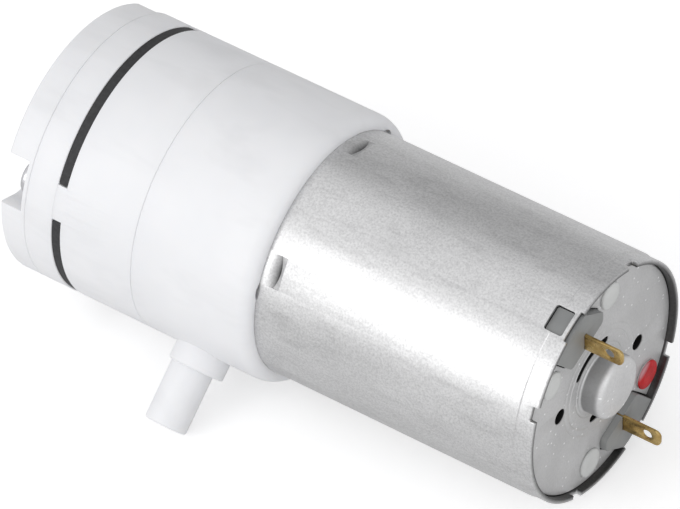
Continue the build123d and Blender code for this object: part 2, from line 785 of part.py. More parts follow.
# Cylinder block: the seat of the diaphragm, with a bore for each cup and a lug at each screw
with BuildPart() as cylinder_block:
    with BuildSketch(Plane.XY):
        Polygon(
            (block_seam, head_inside),
            (block_seam, head_radius - seam_round),
            (block_seam - seam_round, head_radius),
            (block_top, head_radius),
            (block_top, 0),
            (deck_under, 0),
            (deck_under, head_inside),
            align=None,
        )
    revolve(axis=Axis.X)
    with BuildSketch(across(deck_under, screw_angle)):
        with PolarLocations(screw_circle, cup_count):
            Circle(column_radius)
    extrude(amount=block_seam - deck_under)
    for roll in screw_rolls:
        with BuildSketch(across(valve_face, roll)):
            Polygon(*sector(lug_inner, head_radius, lug_half_angle), align=None)
            Circle(head_radius, mode=Mode.INTERSECT)
        extrude(amount=diaphragm_thickness)
    with BuildSketch(across(valve_face)):
        with PolarLocations(cup_circle, cup_count):
            Circle(cup_bore)
        with PolarLocations(screw_circle, cup_count, start_angle=screw_angle):
            Circle(cap_screw_radius + screw_hole_clearance)
        with PolarLocations(transfer_circle, cup_count, start_angle=transfer_angle):
            Circle(transfer_radius)
    extrude(amount=block_seam - valve_face, mode=Mode.SUBTRACT)
finish(cylinder_block, "cylinder_block")

# Diaphragm: one rubber moulding, with a rim clamped all round and three cups on stems
with BuildPart() as diaphragm:
    with BuildSketch(across(valve_face)):
        Circle(head_radius - diaphragm_inset)
        with PolarLocations(cup_circle, cup_count):
            Circle(cup_mouth_radius - cup_wall, mode=Mode.SUBTRACT)
        with PolarLocations(transfer_circle, cup_count, start_angle=transfer_angle):
            Circle(transfer_radius, mode=Mode.SUBTRACT)
        for roll in screw_rolls:
            with Locations(Rot(0, 0, roll)):
                Polygon(
                    *sector(lug_inner - fit_clearance, head_radius, lug_half_angle + 0.5), align=None, mode=Mode.SUBTRACT
                )
    extrude(amount=diaphragm_thickness)
    gap_edges = diaphragm.edges().filter_by(GeomType.LINE).filter_by(Axis.X, reverse=True)
    fillet(gap_edges.filter_by(lambda edge: edge.length > head_radius - lug_inner - 2 * diaphragm_corner), diaphragm_corner)
    for roll in cup_rolls:
        with BuildSketch(across(block_top)) as cup_mouth:
            with Locations(Vector(cup_circle, 0).rotate(Axis.Z, roll)):
                Circle(cup_mouth_radius)
        with BuildSketch(swing(arm_near - arm_gap)) as cup_end:
            with Locations(Vector(cup_circle, 0).rotate(Axis.Z, roll)):
                Circle(cup_floor_radius)
        loft()
    for roll in cup_rolls:
        with BuildSketch(across(valve_face)) as cup_opening:
            with Locations(Vector(cup_circle, 0).rotate(Axis.Z, roll)):
                Circle(cup_mouth_radius - cup_wall)
        with BuildSketch(swing(arm_near - arm_gap - cup_floor)) as cup_well:
            with Locations(Vector(cup_circle, 0).rotate(Axis.Z, roll)):
                Circle(cup_floor_radius - cup_wall)
        loft(mode=Mode.SUBTRACT)
    with BuildSketch(swing(arm_near - arm_gap)):
        with PolarLocations(cup_circle, cup_count):
            Circle(stem_radius)
    extrude(amount=arm_thickness + 2 * arm_gap)
    with BuildSketch(swing(arm_near + arm_thickness + arm_gap)):
        with PolarLocations(cup_circle, cup_count):
            Circle(stem_bulb_radius)
    extrude(amount=stem_bulb_height, taper=stem_taper_angle)
finish(diaphragm, "diaphragm")

# Valve plate: inlet holes over each cup, and outlet holes gathered round the centre
with BuildPart() as valve_plate:
    with BuildSketch(across(cap_seam)):
        Circle(head_radius)
    extrude(amount=valve_plate_thickness)
    chamfer(valve_plate.edges().filter_by(GeomType.CIRCLE).sort_by(Axis.X)[0], seam_round)
    with BuildSketch(across(valve_face)):
        with PolarLocations(cup_circle, cup_count):
            Circle(valve_pocket_radius)
    extrude(amount=-valve_pocket_depth, mode=Mode.SUBTRACT)
    with BuildSketch(across(cap_seam)):
        Circle(valve_stem_radius)
        with PolarLocations(outlet_hole_circle, cup_count):
            Circle(outlet_hole_radius)
        with PolarLocations(inlet_valve_circle, cup_count):
            Circle(valve_stem_radius)
        for roll in cup_rolls:
            with Locations(Rot(0, 0, roll) * Pos(inlet_valve_circle, 0, 0)):
                with PolarLocations(inlet_hole_circle, 3, start_angle=60):
                    Circle(inlet_hole_radius)
        with PolarLocations(screw_circle, cup_count, start_angle=screw_angle):
            Circle(cap_screw_radius + screw_hole_clearance)
        with PolarLocations(transfer_circle, cup_count, start_angle=transfer_angle):
            Circle(transfer_radius)
    extrude(amount=valve_plate_thickness, mode=Mode.SUBTRACT)
    with BuildSketch(across(valve_face)):
        Circle(valve_bulb_radius + valve_bulb_room)
    extrude(amount=-bulb_pocket_depth, mode=Mode.SUBTRACT)
finish(valve_plate, "valve_plate")


def umbrella(disc_station, disc_radius, stem_length, lift):
    """The half-profile of an umbrella valve: a disc, and a stem with a bulb that holds it in its hole."""
    return [
        (disc_station, 0),
        (disc_station, disc_radius),
        (disc_station - lift * valve_disc_thickness, disc_radius),
        (disc_station - lift * valve_disc_thickness, valve_stem_radius - fit_clearance),
        (disc_station - lift * (valve_disc_thickness + stem_length), valve_stem_radius - fit_clearance),
        (disc_station - lift * (valve_disc_thickness + stem_length), valve_bulb_radius),
        (disc_station - lift * (valve_disc_thickness + stem_length + valve_bulb_height), valve_stem_radius / 2),
        (disc_station - lift * (valve_disc_thickness + stem_length + valve_bulb_height), 0),
    ]


# Inlet valves: one rubber umbrella in the roof of each cup
with BuildPart() as inlet_valves:
    for roll in cup_rolls:
        inlet_face = valve_face - valve_pocket_depth + valve_disc_thickness
        with BuildSketch(along(roll)):
            with Locations((0, inlet_valve_circle)):
                Polygon(
                    *umbrella(inlet_face, inlet_valve_radius, valve_plate_thickness - valve_pocket_depth, 1), align=None
                )
        revolve(axis=Axis(outward(roll) * inlet_valve_circle, shaft_direction))
finish(inlet_valves, "inlet_valves")

# Outlet valve: one larger umbrella over the outlet holes
with BuildPart() as outlet_valve:
    with BuildSketch(Plane.XY):
        Polygon(
            *umbrella(
                cap_seam - valve_disc_thickness, outlet_valve_radius, valve_plate_thickness - bulb_pocket_depth, -1
            ),
            align=None,
        )
    revolve(axis=Axis.X)
finish(outlet_valve, "outlet_valve")

# Outlet seal: a rubber ring that parts the outlet chamber from the inlet plenum
with BuildPart() as outlet_seal:
    with BuildSketch(across(cap_seam)):
        Circle(outlet_chamber_radius + seal_width)
        Circle(outlet_chamber_radius + fit_clearance, mode=Mode.SUBTRACT)
    extrude(amount=-seal_height)
finish(outlet_seal, "outlet_seal")

# Cap: the outer cover, with a pocket at each screw, the outlet chamber and the outlet nozzle
with BuildPart() as cap:
    with BuildSketch(across(cap_face)):
        Circle(head_radius)
    extrude(amount=cap_thickness)
    chamfer(cap.edges().filter_by(GeomType.CIRCLE).sort_by(Axis.X)[-1], seam_round)
    fillet(cap.edges().filter_by(GeomType.CIRCLE).sort_by(Axis.X)[0], 2 * seam_round)
    with BuildSketch(across(cap_face)):
        Circle(nozzle_radius)
    extrude(amount=-outlet_length)
    fillet(cap.faces().sort_by(Axis.X)[0].edges(), nozzle_tip_round)
    for roll in screw_rolls:
        with BuildSketch(across(cap_face, roll)):
            with Locations((screw_circle, 0)):
                Circle(pocket_width / 2)
                Rectangle(head_radius, pocket_width, align=(Align.MIN, Align.CENTER))
        extrude(amount=cap_thickness - cap_floor, mode=Mode.SUBTRACT)
    with BuildSketch(across(cap_seam)):
        Circle(plenum_outer)
        Circle(plenum_inner, mode=Mode.SUBTRACT)
        for roll in screw_rolls:
            with Locations(Rot(0, 0, roll) * Pos(screw_circle - pocket_width / 2 - head_wall / 2, 0, 0)):
                Rectangle(head_radius, pocket_width + head_wall, align=(Align.MIN, Align.CENTER), mode=Mode.SUBTRACT)
    extrude(amount=-chamber_depth, mode=Mode.SUBTRACT)
    with BuildSketch(across(cap_seam)):
        Circle(outlet_chamber_radius)
    extrude(amount=-chamber_depth, mode=Mode.SUBTRACT)
    with BuildSketch(across(cap_seam)):
        Circle(outlet_chamber_radius + seal_width + fit_clearance)
    extrude(amount=-seal_height - fit_clearance, mode=Mode.SUBTRACT)
    with BuildSketch(across(cap_face - outlet_length)):
        Circle(nozzle_bore)
    extrude(amount=outlet_length + cap_thickness, mode=Mode.SUBTRACT)
    with BuildSketch(across(cap_seam)):
        with PolarLocations(screw_circle, cup_count, start_angle=screw_angle):
            Circle(cap_screw_radius + screw_hole_clearance)
    extrude(amount=-cap_floor, mode=Mode.SUBTRACT)
finish(cap, "cap")

# Cap screws: three long self-tapping screws through the whole stack
screw_seat = cap_seam - cap_floor
with BuildPart() as cap_screws:
    with BuildSketch(across(screw_seat - cap_screw_head_height, screw_angle)):
        with PolarLocations(screw_circle, cup_count):
            Circle(cap_screw_head_radius)
    extrude(amount=cap_screw_head_height)
    fillet(cap_screws.edges().filter_by(GeomType.CIRCLE).group_by(Axis.X)[0], cap_screw_head_height / 3)
    with BuildSketch(across(screw_seat, screw_angle)):
        with PolarLocations(screw_circle, cup_count):
            Circle(cap_screw_radius)
    extrude(amount=block_seam - screw_seat)
    with BuildSketch(across(block_seam, screw_angle)):
        with PolarLocations(screw_circle, cup_count):
            Circle(cap_screw_core)
    extrude(amount=cap_screw_bite)
    with BuildSketch(across(screw_seat - cap_screw_head_height, screw_angle)):
        with PolarLocations(screw_circle, cup_count):
            Rectangle(cross_length, cross_width)
            Rectangle(cross_width, cross_length)
    extrude(amount=cross_depth, mode=Mode.SUBTRACT)
finish(cap_screws, "cap_screws")
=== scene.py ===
import json
from math import atan2, cos, pi, radians, sin

import bmesh
import bpy
from mathutils import Matrix, Vector


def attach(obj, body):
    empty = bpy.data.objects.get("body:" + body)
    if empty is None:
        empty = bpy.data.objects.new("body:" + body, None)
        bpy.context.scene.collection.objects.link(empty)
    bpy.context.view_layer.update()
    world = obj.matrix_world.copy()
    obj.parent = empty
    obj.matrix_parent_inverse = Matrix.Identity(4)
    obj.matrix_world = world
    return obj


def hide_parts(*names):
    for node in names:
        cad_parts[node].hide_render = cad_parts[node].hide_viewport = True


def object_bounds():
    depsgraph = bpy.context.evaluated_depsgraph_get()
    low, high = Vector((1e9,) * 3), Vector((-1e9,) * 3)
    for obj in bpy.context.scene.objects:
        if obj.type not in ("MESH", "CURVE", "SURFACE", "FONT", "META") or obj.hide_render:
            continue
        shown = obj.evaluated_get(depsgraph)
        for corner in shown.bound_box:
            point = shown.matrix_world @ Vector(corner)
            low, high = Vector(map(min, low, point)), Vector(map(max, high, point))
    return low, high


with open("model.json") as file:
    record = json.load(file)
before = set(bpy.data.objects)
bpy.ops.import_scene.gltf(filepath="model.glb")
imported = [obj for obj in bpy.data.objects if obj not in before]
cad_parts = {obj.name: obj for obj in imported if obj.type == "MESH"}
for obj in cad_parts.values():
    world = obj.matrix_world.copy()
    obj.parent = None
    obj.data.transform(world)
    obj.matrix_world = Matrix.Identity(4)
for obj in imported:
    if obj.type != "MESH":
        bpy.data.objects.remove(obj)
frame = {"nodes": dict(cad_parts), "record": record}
cad_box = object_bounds()
cad = frame["nodes"]

MM = 0.001
SHAFT = Vector((1, 0, 0))
ACROSS = Vector((0, 1, 0))
UPRIGHT = Vector((0, 0, 1))
AROUND = 192

# Camera: its place in metres, its directions and its lens, as fitted to the photograph
CAMERA_PLACE = (0.322222, -0.395781, 0.596208)
CAMERA_RIGHT = Vector((0.8173547, 0.570158, -0.082773))
CAMERA_FORWARD = Vector((-0.425571, 0.500644, -0.753820))
FOCAL_LENGTH = 453.53
SENSOR_WIDTH = 36.0

# Rolls about the shaft in degrees, counted from the side nozzle, which droops below level
NOZZLE_DROOP = radians(33.7)
MOTOR_ROLL = 72.0
MOTOR_ROLLS = (MOTOR_ROLL, MOTOR_ROLL + 180)
MOTOR_SCREW_ROLLS = (90, 270)
SCREW_ROLLS = (60, 180, 300)
CUP_TURN = -60
PEG_TURN = -30
POST_ROLLS = (-32, 32)
DENT_ROLLS = (-36, 36)
NOTCH_ROLLS = (-44.5, 44.5)
WINDOW_TURN = 2.2
BLADE_TURN = 22.0

# Motor: stations along the shaft and radii in millimetres, as in the part's source
CAN_RADIUS = 12.2
CAN_BORE = 11.3
CAN_FRONT = -15.85
CAN_FLOOR = -14.85
NOSE_FRONT = CAN_FRONT - 1.8
NOSE_RADIUS = 3.1
BEARING_SEAT = 2.45
WINDOW_STATION = 13.605
RIM = 15.25
RIM_RADIUS = CAN_RADIUS - 0.1
SEAT_RADIUS = 11.6
PLATE_RADIUS = SEAT_RADIUS - 0.05
PLATE_OUTER = 14.55
PLATE_INNER = 13.55
BOSS_RADIUS = 3.15
BOSS_FACE = 16.8
BOSS_CEILING = 16.3
HOLDER_FRONT = 11.95
HOLDER_RADIUS = 11.25
HOLDER_BORE = 4.8
POST_CIRCLE = 9.5
BLADE_CIRCLE = 8.35
BLADE_MIDDLE = 14.225
BLADE_LENGTH = 10.15
EYELET_PLACE = 3.625
MOTOR_SCREW_CIRCLE = 8.0

# Head
HEAD_LIP = -15.25
HEAD_RADIUS = 13.5
HEAD_BORE = 11.9
HEAD_FLOOR = -18.45
BLOCK_SEAM = -28.35
BLOCK_TOP = -36.45
VALVE_FACE = -37.45
CAP_SEAM = -40.55
CAP_FACE = -43.35
NOZZLE_STATION = -23.0
NOZZLE_TIP = 21.2
NOZZLE_RADIUS = 2.1
NOZZLE_BORE = 1.2
OUTLET_TIP = CAP_FACE - 4.6
SCREW_CIRCLE = 11.0
SCREW_HOLE = 1.1
COLUMN_RADIUS = 2.0
PEG_HOLE = 0.7
CUP_CIRCLE = 6.4
VALVE_CIRCLE = 7.5
PAST_VALVE_FACE = -36


def to_scene(name, data):
    thing = bpy.data.objects.new(name, data)
    bpy.context.scene.collection.objects.link(thing)
    return thing


# Camera, at the photograph's angle
def aim_camera():
    forward = CAMERA_FORWARD.normalized()
    up = CAMERA_RIGHT.normalized().cross(forward).normalized()
    right = forward.cross(up)
    lens = bpy.data.cameras.new("camera")
    lens.sensor_width = SENSOR_WIDTH
    lens.lens = FOCAL_LENGTH
    lens.clip_start = 0.01
    lens.clip_end = 20.0
    camera = to_scene("camera", lens)
    camera.matrix_world = Matrix.Translation(CAMERA_PLACE) @ Matrix((right, up, -forward)).transposed().to_4x4()
    bpy.context.scene.camera = camera


# Directions about the shaft: a roll turns by the right-hand rule about X
def outward(roll):
    angle = pi + NOZZLE_DROOP + radians(roll)
    return Vector((0, cos(angle), sin(angle)))


def sideways(roll):
    return outward(roll + 90)


# Outlines, in a plane
def polar(radius, angle):
    return (radius * cos(radians(angle)), radius * sin(radians(angle)))


def ring_outline(radius, count=40, centre=(0.0, 0.0)):
    turns = [2 * pi * i / count for i in range(count)]
    return [(centre[0] + radius * cos(turn), centre[1] + radius * sin(turn)) for turn in turns]


def sector(inner, outer, half_angle, count=10):
    """A piece of a ring, from one radius to another."""
    turns = [half_angle * (2 * i / count - 1) for i in range(count + 1)]
    return [polar(inner, turn) for turn in turns] + [polar(outer, turn) for turn in reversed(turns)]


def arc_slot(radius, width, half_angle, count=28):
    """A slot that follows an arc, with round ends."""
    line = [polar(radius + width / 2, half_angle * (2 * i / count - 1)) for i in range(count + 1)]
    far = Vector(polar(radius, half_angle))
    line += [tuple(far + Vector(polar(width / 2, half_angle + 180 * i / 6))) for i in range(1, 6)]
    line += [polar(radius - width / 2, half_angle * (1 - 2 * i / count)) for i in range(count + 1)]
    near = Vector(polar(radius, -half_angle))
    line += [tuple(near + Vector(polar(width / 2, -half_angle + 180 + 180 * i / 6))) for i in range(1, 6)]
    return line


def eased(corners, steps=5):
    """An outline whose corners are rounded: each corner is (a, b) or (a, b, radius)."""
    line = []
    count = len(corners)
    for i, corner in enumerate(corners):
        here = Vector(corner[:2])
        radius = corner[2] if len(corner) > 2 else 0.0
        if radius <= 0:
            line.append(here)
            continue
        back = Vector(corners[i - 1][:2]) - here
        ahead = Vector(corners[(i + 1) % count][:2]) - here
        half = back.angle(ahead) / 2
        reach = radius / sin(half) * cos(half)
        middle = here + (back.normalized() + ahead.normalized()).normalized() * radius / sin(half)
        start = here + back.normalized() * reach - middle
        end = here + ahead.normalized() * reach - middle
        sweep = atan2(start.x * end.y - start.y * end.x, start.dot(end))
        for step in range(steps + 1):
            line.append(middle + Matrix.Rotation(sweep * step / steps, 2) @ start)
    return line


def gate(inner, outer, half_angle, radius, inset=0.0, count=16):
    """A terminal gate: a wedge of a ring whose one side turns in from its shoulder towards the rim."""
    first = -9.0 + 0.9 * (12.6 - outer)
    rim = [polar(outer, first + (half_angle - first) * i / count) for i in range(count + 1)]
    near = inner * sin(radians(half_angle)) / cos(radians(half_angle))
    shoulder = polar(9.2, -half_angle)
    mouth = (outer, inset - 1.2)
    lead_in = 0.35
    lead = (mouth[0] - lead_in, mouth[1] + (shoulder[1] - mouth[1]) * lead_in / (mouth[0] - shoulder[0]))
    line = [(inner, -near, radius), shoulder + (0.2,), lead]
    return eased(line + [place for place in rim if place[1] > lead[1]] + [(inner, near, radius)])


# Forms, in millimetres
def turned(corners, around=AROUND, steps=5, axis=None):
    """A lathe form: an outline of (station, radius) corners turned about the shaft or another axis."""
    bm = bmesh.new()
    origin, line, first, second = axis or (Vector(), SHAFT, ACROSS, UPRIGHT)
    rings = []
    for place in eased(corners, steps):
        base = origin + line * place.x
        if place.y < 1e-6:
            rings.append([bm.verts.new(base)])
            continue
        ring = []
        for i in range(around):
            angle = 2 * pi * i / around
            ring.append(bm.verts.new(base + (first * cos(angle) + second * sin(angle)) * place.y))
        rings.append(ring)
    for near, far in zip(rings, rings[1:] + rings[:1]):
        if len(near) == 1 and len(far) == 1:
            continue
        for i in range(around):
            j = (i + 1) % around
            loop = [near[i % len(near)], near[j % len(near)], far[j % len(far)], far[i % len(far)]]
            bm.faces.new(list(dict.fromkeys(loop)))
    bmesh.ops.remove_doubles(bm, verts=bm.verts, dist=1e-5)
    bmesh.ops.recalc_face_normals(bm, faces=bm.faces)
    return bm


def slab(outline, low, high, place, first, second, line):
    """A prism: an outline in the plane of first and second, drawn out along line from low to high."""
    bm = bmesh.new()
    floor = [bm.verts.new(place + first * a + second * b + line * low) for a, b in outline]
    roof = [bm.verts.new(v.co + line * (high - low)) for v in floor]
    bm.faces.new(floor)
    bm.faces.new(roof)
    for i in range(len(floor)):
        j = (i + 1) % len(floor)
        bm.faces.new((floor[i], floor[j], roof[j], roof[i]))
    bmesh.ops.recalc_face_normals(bm, faces=bm.faces)
    return bm


def wall_slab(station, roll, length, width, low, high, radius):
    """A form that goes outward through the wall: length along the shaft, width round it."""
    a, b = length / 2, width / 2
    outline = eased([(-a, -b, radius), (a, -b, radius), (a, b, radius), (-a, b, radius)])
    return slab(outline, low, high, SHAFT * station, SHAFT, sideways(roll), outward(roll))


def face_slab(outline, roll, low, high):
    """A form along the shaft, from an outline in the plane square to it."""
    return slab(outline, low, high, Vector(), outward(roll), sideways(roll), SHAFT)


def rod(radius, count, distance, roll, low, high):
    """A round form along the shaft, at a distance from it: a hole or a column."""
    return face_slab(ring_outline(radius, count, (distance, 0.0)), roll, low, high)


def in_metres(bm):
    mesh = bpy.data.meshes.new("form")
    bm.to_mesh(mesh)
    bm.free()
    mesh.transform(Matrix.Scale(MM, 4))
    return mesh


def cut(piece, tool, operation="DIFFERENCE"):
    step = piece.modifiers.new("cut", "BOOLEAN")
    step.operation = operation
    step.solver = "EXACT"
    step.object = tool


def carve(bm, cutters, joined=(), edge=0.06, angle=38.0):
    """Adds forms to a blank, cuts others out of it, and breaks the sharp edges that are left."""
    blank = to_scene("blank", in_metres(bm))
    held = []
    for operation, forms in (("UNION", joined), ("DIFFERENCE", cutters)):
        for form in forms:
            tool = to_scene("tool", in_metres(form))
            held.append(tool)
            cut(blank, tool, operation)
    bevel = blank.modifiers.new("edge", "BEVEL")
    bevel.width = edge * MM
    bevel.segments = 2
    bevel.limit_method = "ANGLE"
    bevel.angle_limit = radians(angle)
    mesh = bpy.data.meshes.new_from_object(blank.evaluated_get(bpy.context.evaluated_depsgraph_get()))
    for piece in held + [blank]:
        bpy.data.objects.remove(piece)
    return mesh


def set_piece(name, mesh, finish, nodes=(), body="pump_body", angle=32.0):
    """Puts a finished mesh in the scene: its finish, the body it rides on and the nodes it stands for."""
    mesh.name = name
    mesh.materials.clear()
    mesh.materials.append(finishes[finish])
    mesh.shade_smooth()
    mesh.set_sharp_from_angle(angle=radians(angle))
    piece = to_scene(name, mesh)
    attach(piece, body)
    if nodes:
        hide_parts(*nodes)


def bare_tree(owner):
    """The node tree of a material or the world, emptied."""
    owner.use_nodes = True
    owner.node_tree.nodes.clear()
    return owner.node_tree


class Finish:
    """A procedural finish on Object coordinates. A pattern is a pair: a node and one of its outputs."""

    def __init__(self, name):
        self.mat = bpy.data.materials.new(name)
        self.tree = bare_tree(self.mat)
        self.shader = self.add("ShaderNodeBsdfPrincipled")
        self.link((self.shader, "BSDF"), self.add("ShaderNodeOutputMaterial"), "Surface")
        self.place = (self.add("ShaderNodeTexCoord"), "Object")

    def add(self, kind, **values):
        node = self.tree.nodes.new(kind)
        for key, value in values.items():
            if key in node.inputs:
                node.inputs[key].default_value = value
            else:
                setattr(node, key, value)
        return node

    def link(self, source, node, entry):
        self.tree.links.new(source[0].outputs[source[1]], node.inputs[entry])

    def set(self, **values):
        for key, value in values.items():
            self.shader.inputs[key.replace("_", " ")].default_value = value

    def stretched(self, scale):
        """The piece's own place, stretched, for a pattern to read."""
        mapping = self.add("ShaderNodeMapping", Scale=scale)
        self.link(self.place, mapping, "Vector")
        return mapping, "Vector"

    def noise(self, scale, detail=3.0, rough=0.5, stretch=(1, 1, 1), twist=0.0):
        texture = self.add("ShaderNodeTexNoise", Scale=scale, Detail=detail, Roughness=rough, Distortion=twist)
        self.link(self.stretched(stretch), texture, "Vector")
        return texture, "Fac"

    def span(self, source, **ends):
        """A pattern spread from one range to another: from_min, from_max, to_min and to_max."""
        spread = self.add("ShaderNodeMapRange")
        for key, value in ends.items():
            spread.inputs[key.replace("_", " ").title()].default_value = value
        self.link(source, spread, "Value")
        return spread, "Result"

    def depth(self, low, high, below=0.03):
        """Dark up to one station along the shaft, plain from another."""
        split = self.add("ShaderNodeSeparateXYZ")
        self.link(self.place, split, "Vector")
        return self.span((split, "X"), from_min=low * MM, from_max=high * MM, to_min=below)

    def around(self, low, high, below):
        """Dark up to one radius about the shaft, plain from another."""
        flat = self.add("ShaderNodeVectorMath", operation="MULTIPLY")
        flat.inputs[1].default_value = (0, 1, 1)
        self.link(self.place, flat, "Vector")
        length = self.add("ShaderNodeVectorMath", operation="LENGTH")
        self.link((flat, "Vector"), length, "Vector")
        return self.span((length, "Value"), from_min=low * MM, from_max=high * MM, to_min=below)

    def beside(self, place, direction, low, high):
        """From 0 to 1 along a direction, counted from a place."""
        side = self.add("ShaderNodeVectorMath", operation="DOT_PRODUCT")
        side.inputs[1].default_value = direction
        self.link(self.place, side, "Vector")
        start = place.dot(direction)
        return self.span((side, "Value"), from_min=(start + low) * MM, from_max=(start + high) * MM)

    def ramp(self, source, stops, smooth=False):
        ramp = self.add("ShaderNodeValToRGB")
        ramp.color_ramp.interpolation = "EASE" if smooth else "LINEAR"
        band = ramp.color_ramp.elements
        while len(band) < len(stops):
            band.new(0.5)
        for element, (place, colour) in zip(band, stops):
            element.position = place
            if isinstance(colour, (int, float)):
                colour = (colour, colour, colour)
            element.color = (*colour, 1.0)
        self.link(source, ramp, "Fac")
        return ramp, "Color"

    def blend(self, factor, first, second, way="MIX"):
        """Two colours blended, each a pattern or a plain colour. The factor is a pattern or a number."""
        mix = self.add("ShaderNodeMix", data_type="RGBA", blend_type=way)
        for value, entry in ((factor, 0), (first, 6), (second, 7)):
            if isinstance(value, tuple) and hasattr(value[0], "outputs"):
                self.link(value, mix, entry)
            elif entry == 0:
                mix.inputs[entry].default_value = value
            else:
                mix.inputs[entry].default_value = (*value, 1.0)
        return mix, 2

    def times(self, first, second):
        return self.blend(1.0, first, second, "MULTIPLY")

    def colour(self, source):
        self.link(source, self.shader, "Base Color")

    def rough(self, source, low, high):
        self.link(self.span(source, to_min=low, to_max=high), self.shader, "Roughness")

    def bump(self, *layers):
        """Relief: pairs of a pattern and its height in metres, laid one over the other."""
        last = None
        for source, height in layers:
            node = self.add("ShaderNodeBump", Distance=height)
            self.link(source, node, "Height")
            if last:
                self.link((last, "Normal"), node, "Normal")
            last = node
        self.link((last, "Normal"), self.shader, "Normal")


def waxy_white():
    f = Finish("waxy_white_moulding")
    cloud = f.noise(90, 3, 0.55)
    streak = f.noise(160, 4, 0.6, stretch=(0.35, 1, 1), twist=0.4)
    base = f.ramp(cloud, [(0.3, (0.815, 0.82, 0.836)), (0.7, (0.855, 0.858, 0.871))], True)
    scuff = f.ramp(streak, [(0.34, 0.95), (0.5, 1.0)])
    f.colour(f.times(base, scuff))
    f.rough(f.noise(420, 4, 0.6), 0.36, 0.54)
    f.set(Subsurface_Weight=0.1, Subsurface_Radius=(0.0016, 0.0014, 0.0012), Subsurface_Scale=1.0, IOR=1.49)
    f.bump((f.noise(260, 2, 0.5), 4e-6), (f.noise(3600, 3, 0.6), 1.5e-6))
    return f.mat


def zinc_steel():
    """Zinc plating that is brushed along the can, with painted shade darkening it down in the dents and on the
    cut edges.
    """
    f = Finish("zinc_plated_can")
    grain = f.noise(4600, 5, 0.75)
    drawn = f.noise(800, 5, 0.7, stretch=(0.25, 1, 1), twist=0.3)
    cloud = f.noise(130, 4, 0.6, stretch=(0.5, 1, 1))
    tone = f.ramp(cloud, [(0.3, 0.74), (0.7, 0.82)], True)
    speck = f.ramp(grain, [(0.34, 0.74), (0.6, 1.0)])
    line = f.ramp(drawn, [(0.32, 0.88), (0.5, 1.0)])
    skin = f.times(f.times(tone, speck), line)
    # Painted shade: below the can's skin the colour darkens to near black, down in the dents and on the cut
    # walls of the windows and notches.
    behind_dents = f.depth(-12.7, -12.5, 0.0)
    shade = f.blend(behind_dents, f.around(11.70, 12.19, 0.06), f.around(11.66, 12.07, 0.16))
    f.colour(f.times(skin, shade))
    f.rough(drawn, 0.30, 0.44)
    f.set(Metallic=1.0)
    f.bump((drawn, 4e-6), (grain, 6e-6))
    return f.mat


def plate_steel():
    """Dull sheet with small pale flecks, a boss wall darker than the sheet with a painted highlight on the
    boss's top, and cut edges dark with painted shade and some grime.
    """
    f = Finish("end_plate_sheet")
    grain = f.noise(4200, 3, 0.6)
    cloud = f.noise(200, 3, 0.5)
    dots = f.add("ShaderNodeTexVoronoi", Scale=1350)
    f.link(f.stretched((0.12, 1, 1)), dots, "Vector")
    core = f.ramp((dots, "Distance"), [(0.10, 1.0), (0.17, 0.0)])
    pick = f.ramp((dots, "Color"), [(0.34, 0.0), (0.38, 1.0)])
    fleck = f.times(core, pick)
    base = f.ramp(cloud, [(0.3, 0.60), (0.7, 0.68)], True)
    sheet = f.times(base, f.ramp(grain, [(0.3, 0.9), (0.6, 1.0)]))
    face = f.blend(fleck, sheet, (0.95, 0.95, 0.96))
    # The boss wall is darker than the sheet from its foot upwards, and its rounded top is brighter than the
    # sheet: a painted highlight.
    up_boss = f.depth(PLATE_OUTER, BOSS_FACE, 0.0)
    boss_darkening_and_highlight = f.ramp(up_boss, [(0.03, 1.0), (0.1, 0.5), (0.66, 0.62), (0.84, 1.12)])
    # The cut walls of slots, holes and gates, below the sheet's face, go nearly black: painted shade, with a
    # little of the stamped edges' own grime.
    f.colour(f.times(f.times(face, boss_darkening_and_highlight), f.depth(PLATE_OUTER - 0.11, PLATE_OUTER - 0.06)))
    f.rough(grain, 0.40, 0.56)
    f.set(Metallic=0.6)
    f.bump((grain, 3e-6), (fleck, 4e-6))
    return f.mat


def brass():
    f = Finish("stamped_brass")
    stain = f.noise(700, 4, 0.6)
    f.colour(f.ramp(stain, [(0.3, (0.36, 0.22, 0.07)), (0.5, (0.58, 0.40, 0.15)), (0.72, (0.74, 0.56, 0.25))]))
    f.rough(f.noise(2600, 3), 0.20, 0.38)
    f.set(Metallic=1.0)
    f.bump((f.noise(2600, 3, 0.6, stretch=(0.2, 1, 1)), 3e-6))
    return f.mat


def matt_rubber(name, dark):
    f = Finish(name)
    dust = f.noise(2400, 4, 0.7)
    f.colour(f.ramp(dust, [(0.35, dark), (0.7, tuple(2.0 * part for part in dark))]))
    f.rough(dust, 0.62, 0.8)
    f.bump((f.noise(4200, 3, 0.7), 5e-6))
    return f.mat


def plain_moulding(name, low, high, gloss=(0.35, 0.5)):
    f = Finish(name)
    f.colour(f.ramp(f.noise(240, 3), [(0.3, low), (0.7, high)], True))
    f.rough(f.noise(900, 3), *gloss)
    f.bump((f.noise(3000, 3, 0.6), 3e-6))
    return f.mat


def plain_metal(name, low, high, gloss=(0.2, 0.35), stretch=(1, 1, 1), scale=1500):
    f = Finish(name)
    f.colour(f.ramp(f.noise(scale * 0.4, 4, 0.6, stretch=stretch), [(0.3, low), (0.7, high)], True))
    f.rough(f.noise(scale, 4, 0.6, stretch=stretch), *gloss)
    f.set(Metallic=1.0)
    f.bump((f.noise(scale * 2, 3, 0.6, stretch=stretch), 3e-6))
    return f.mat


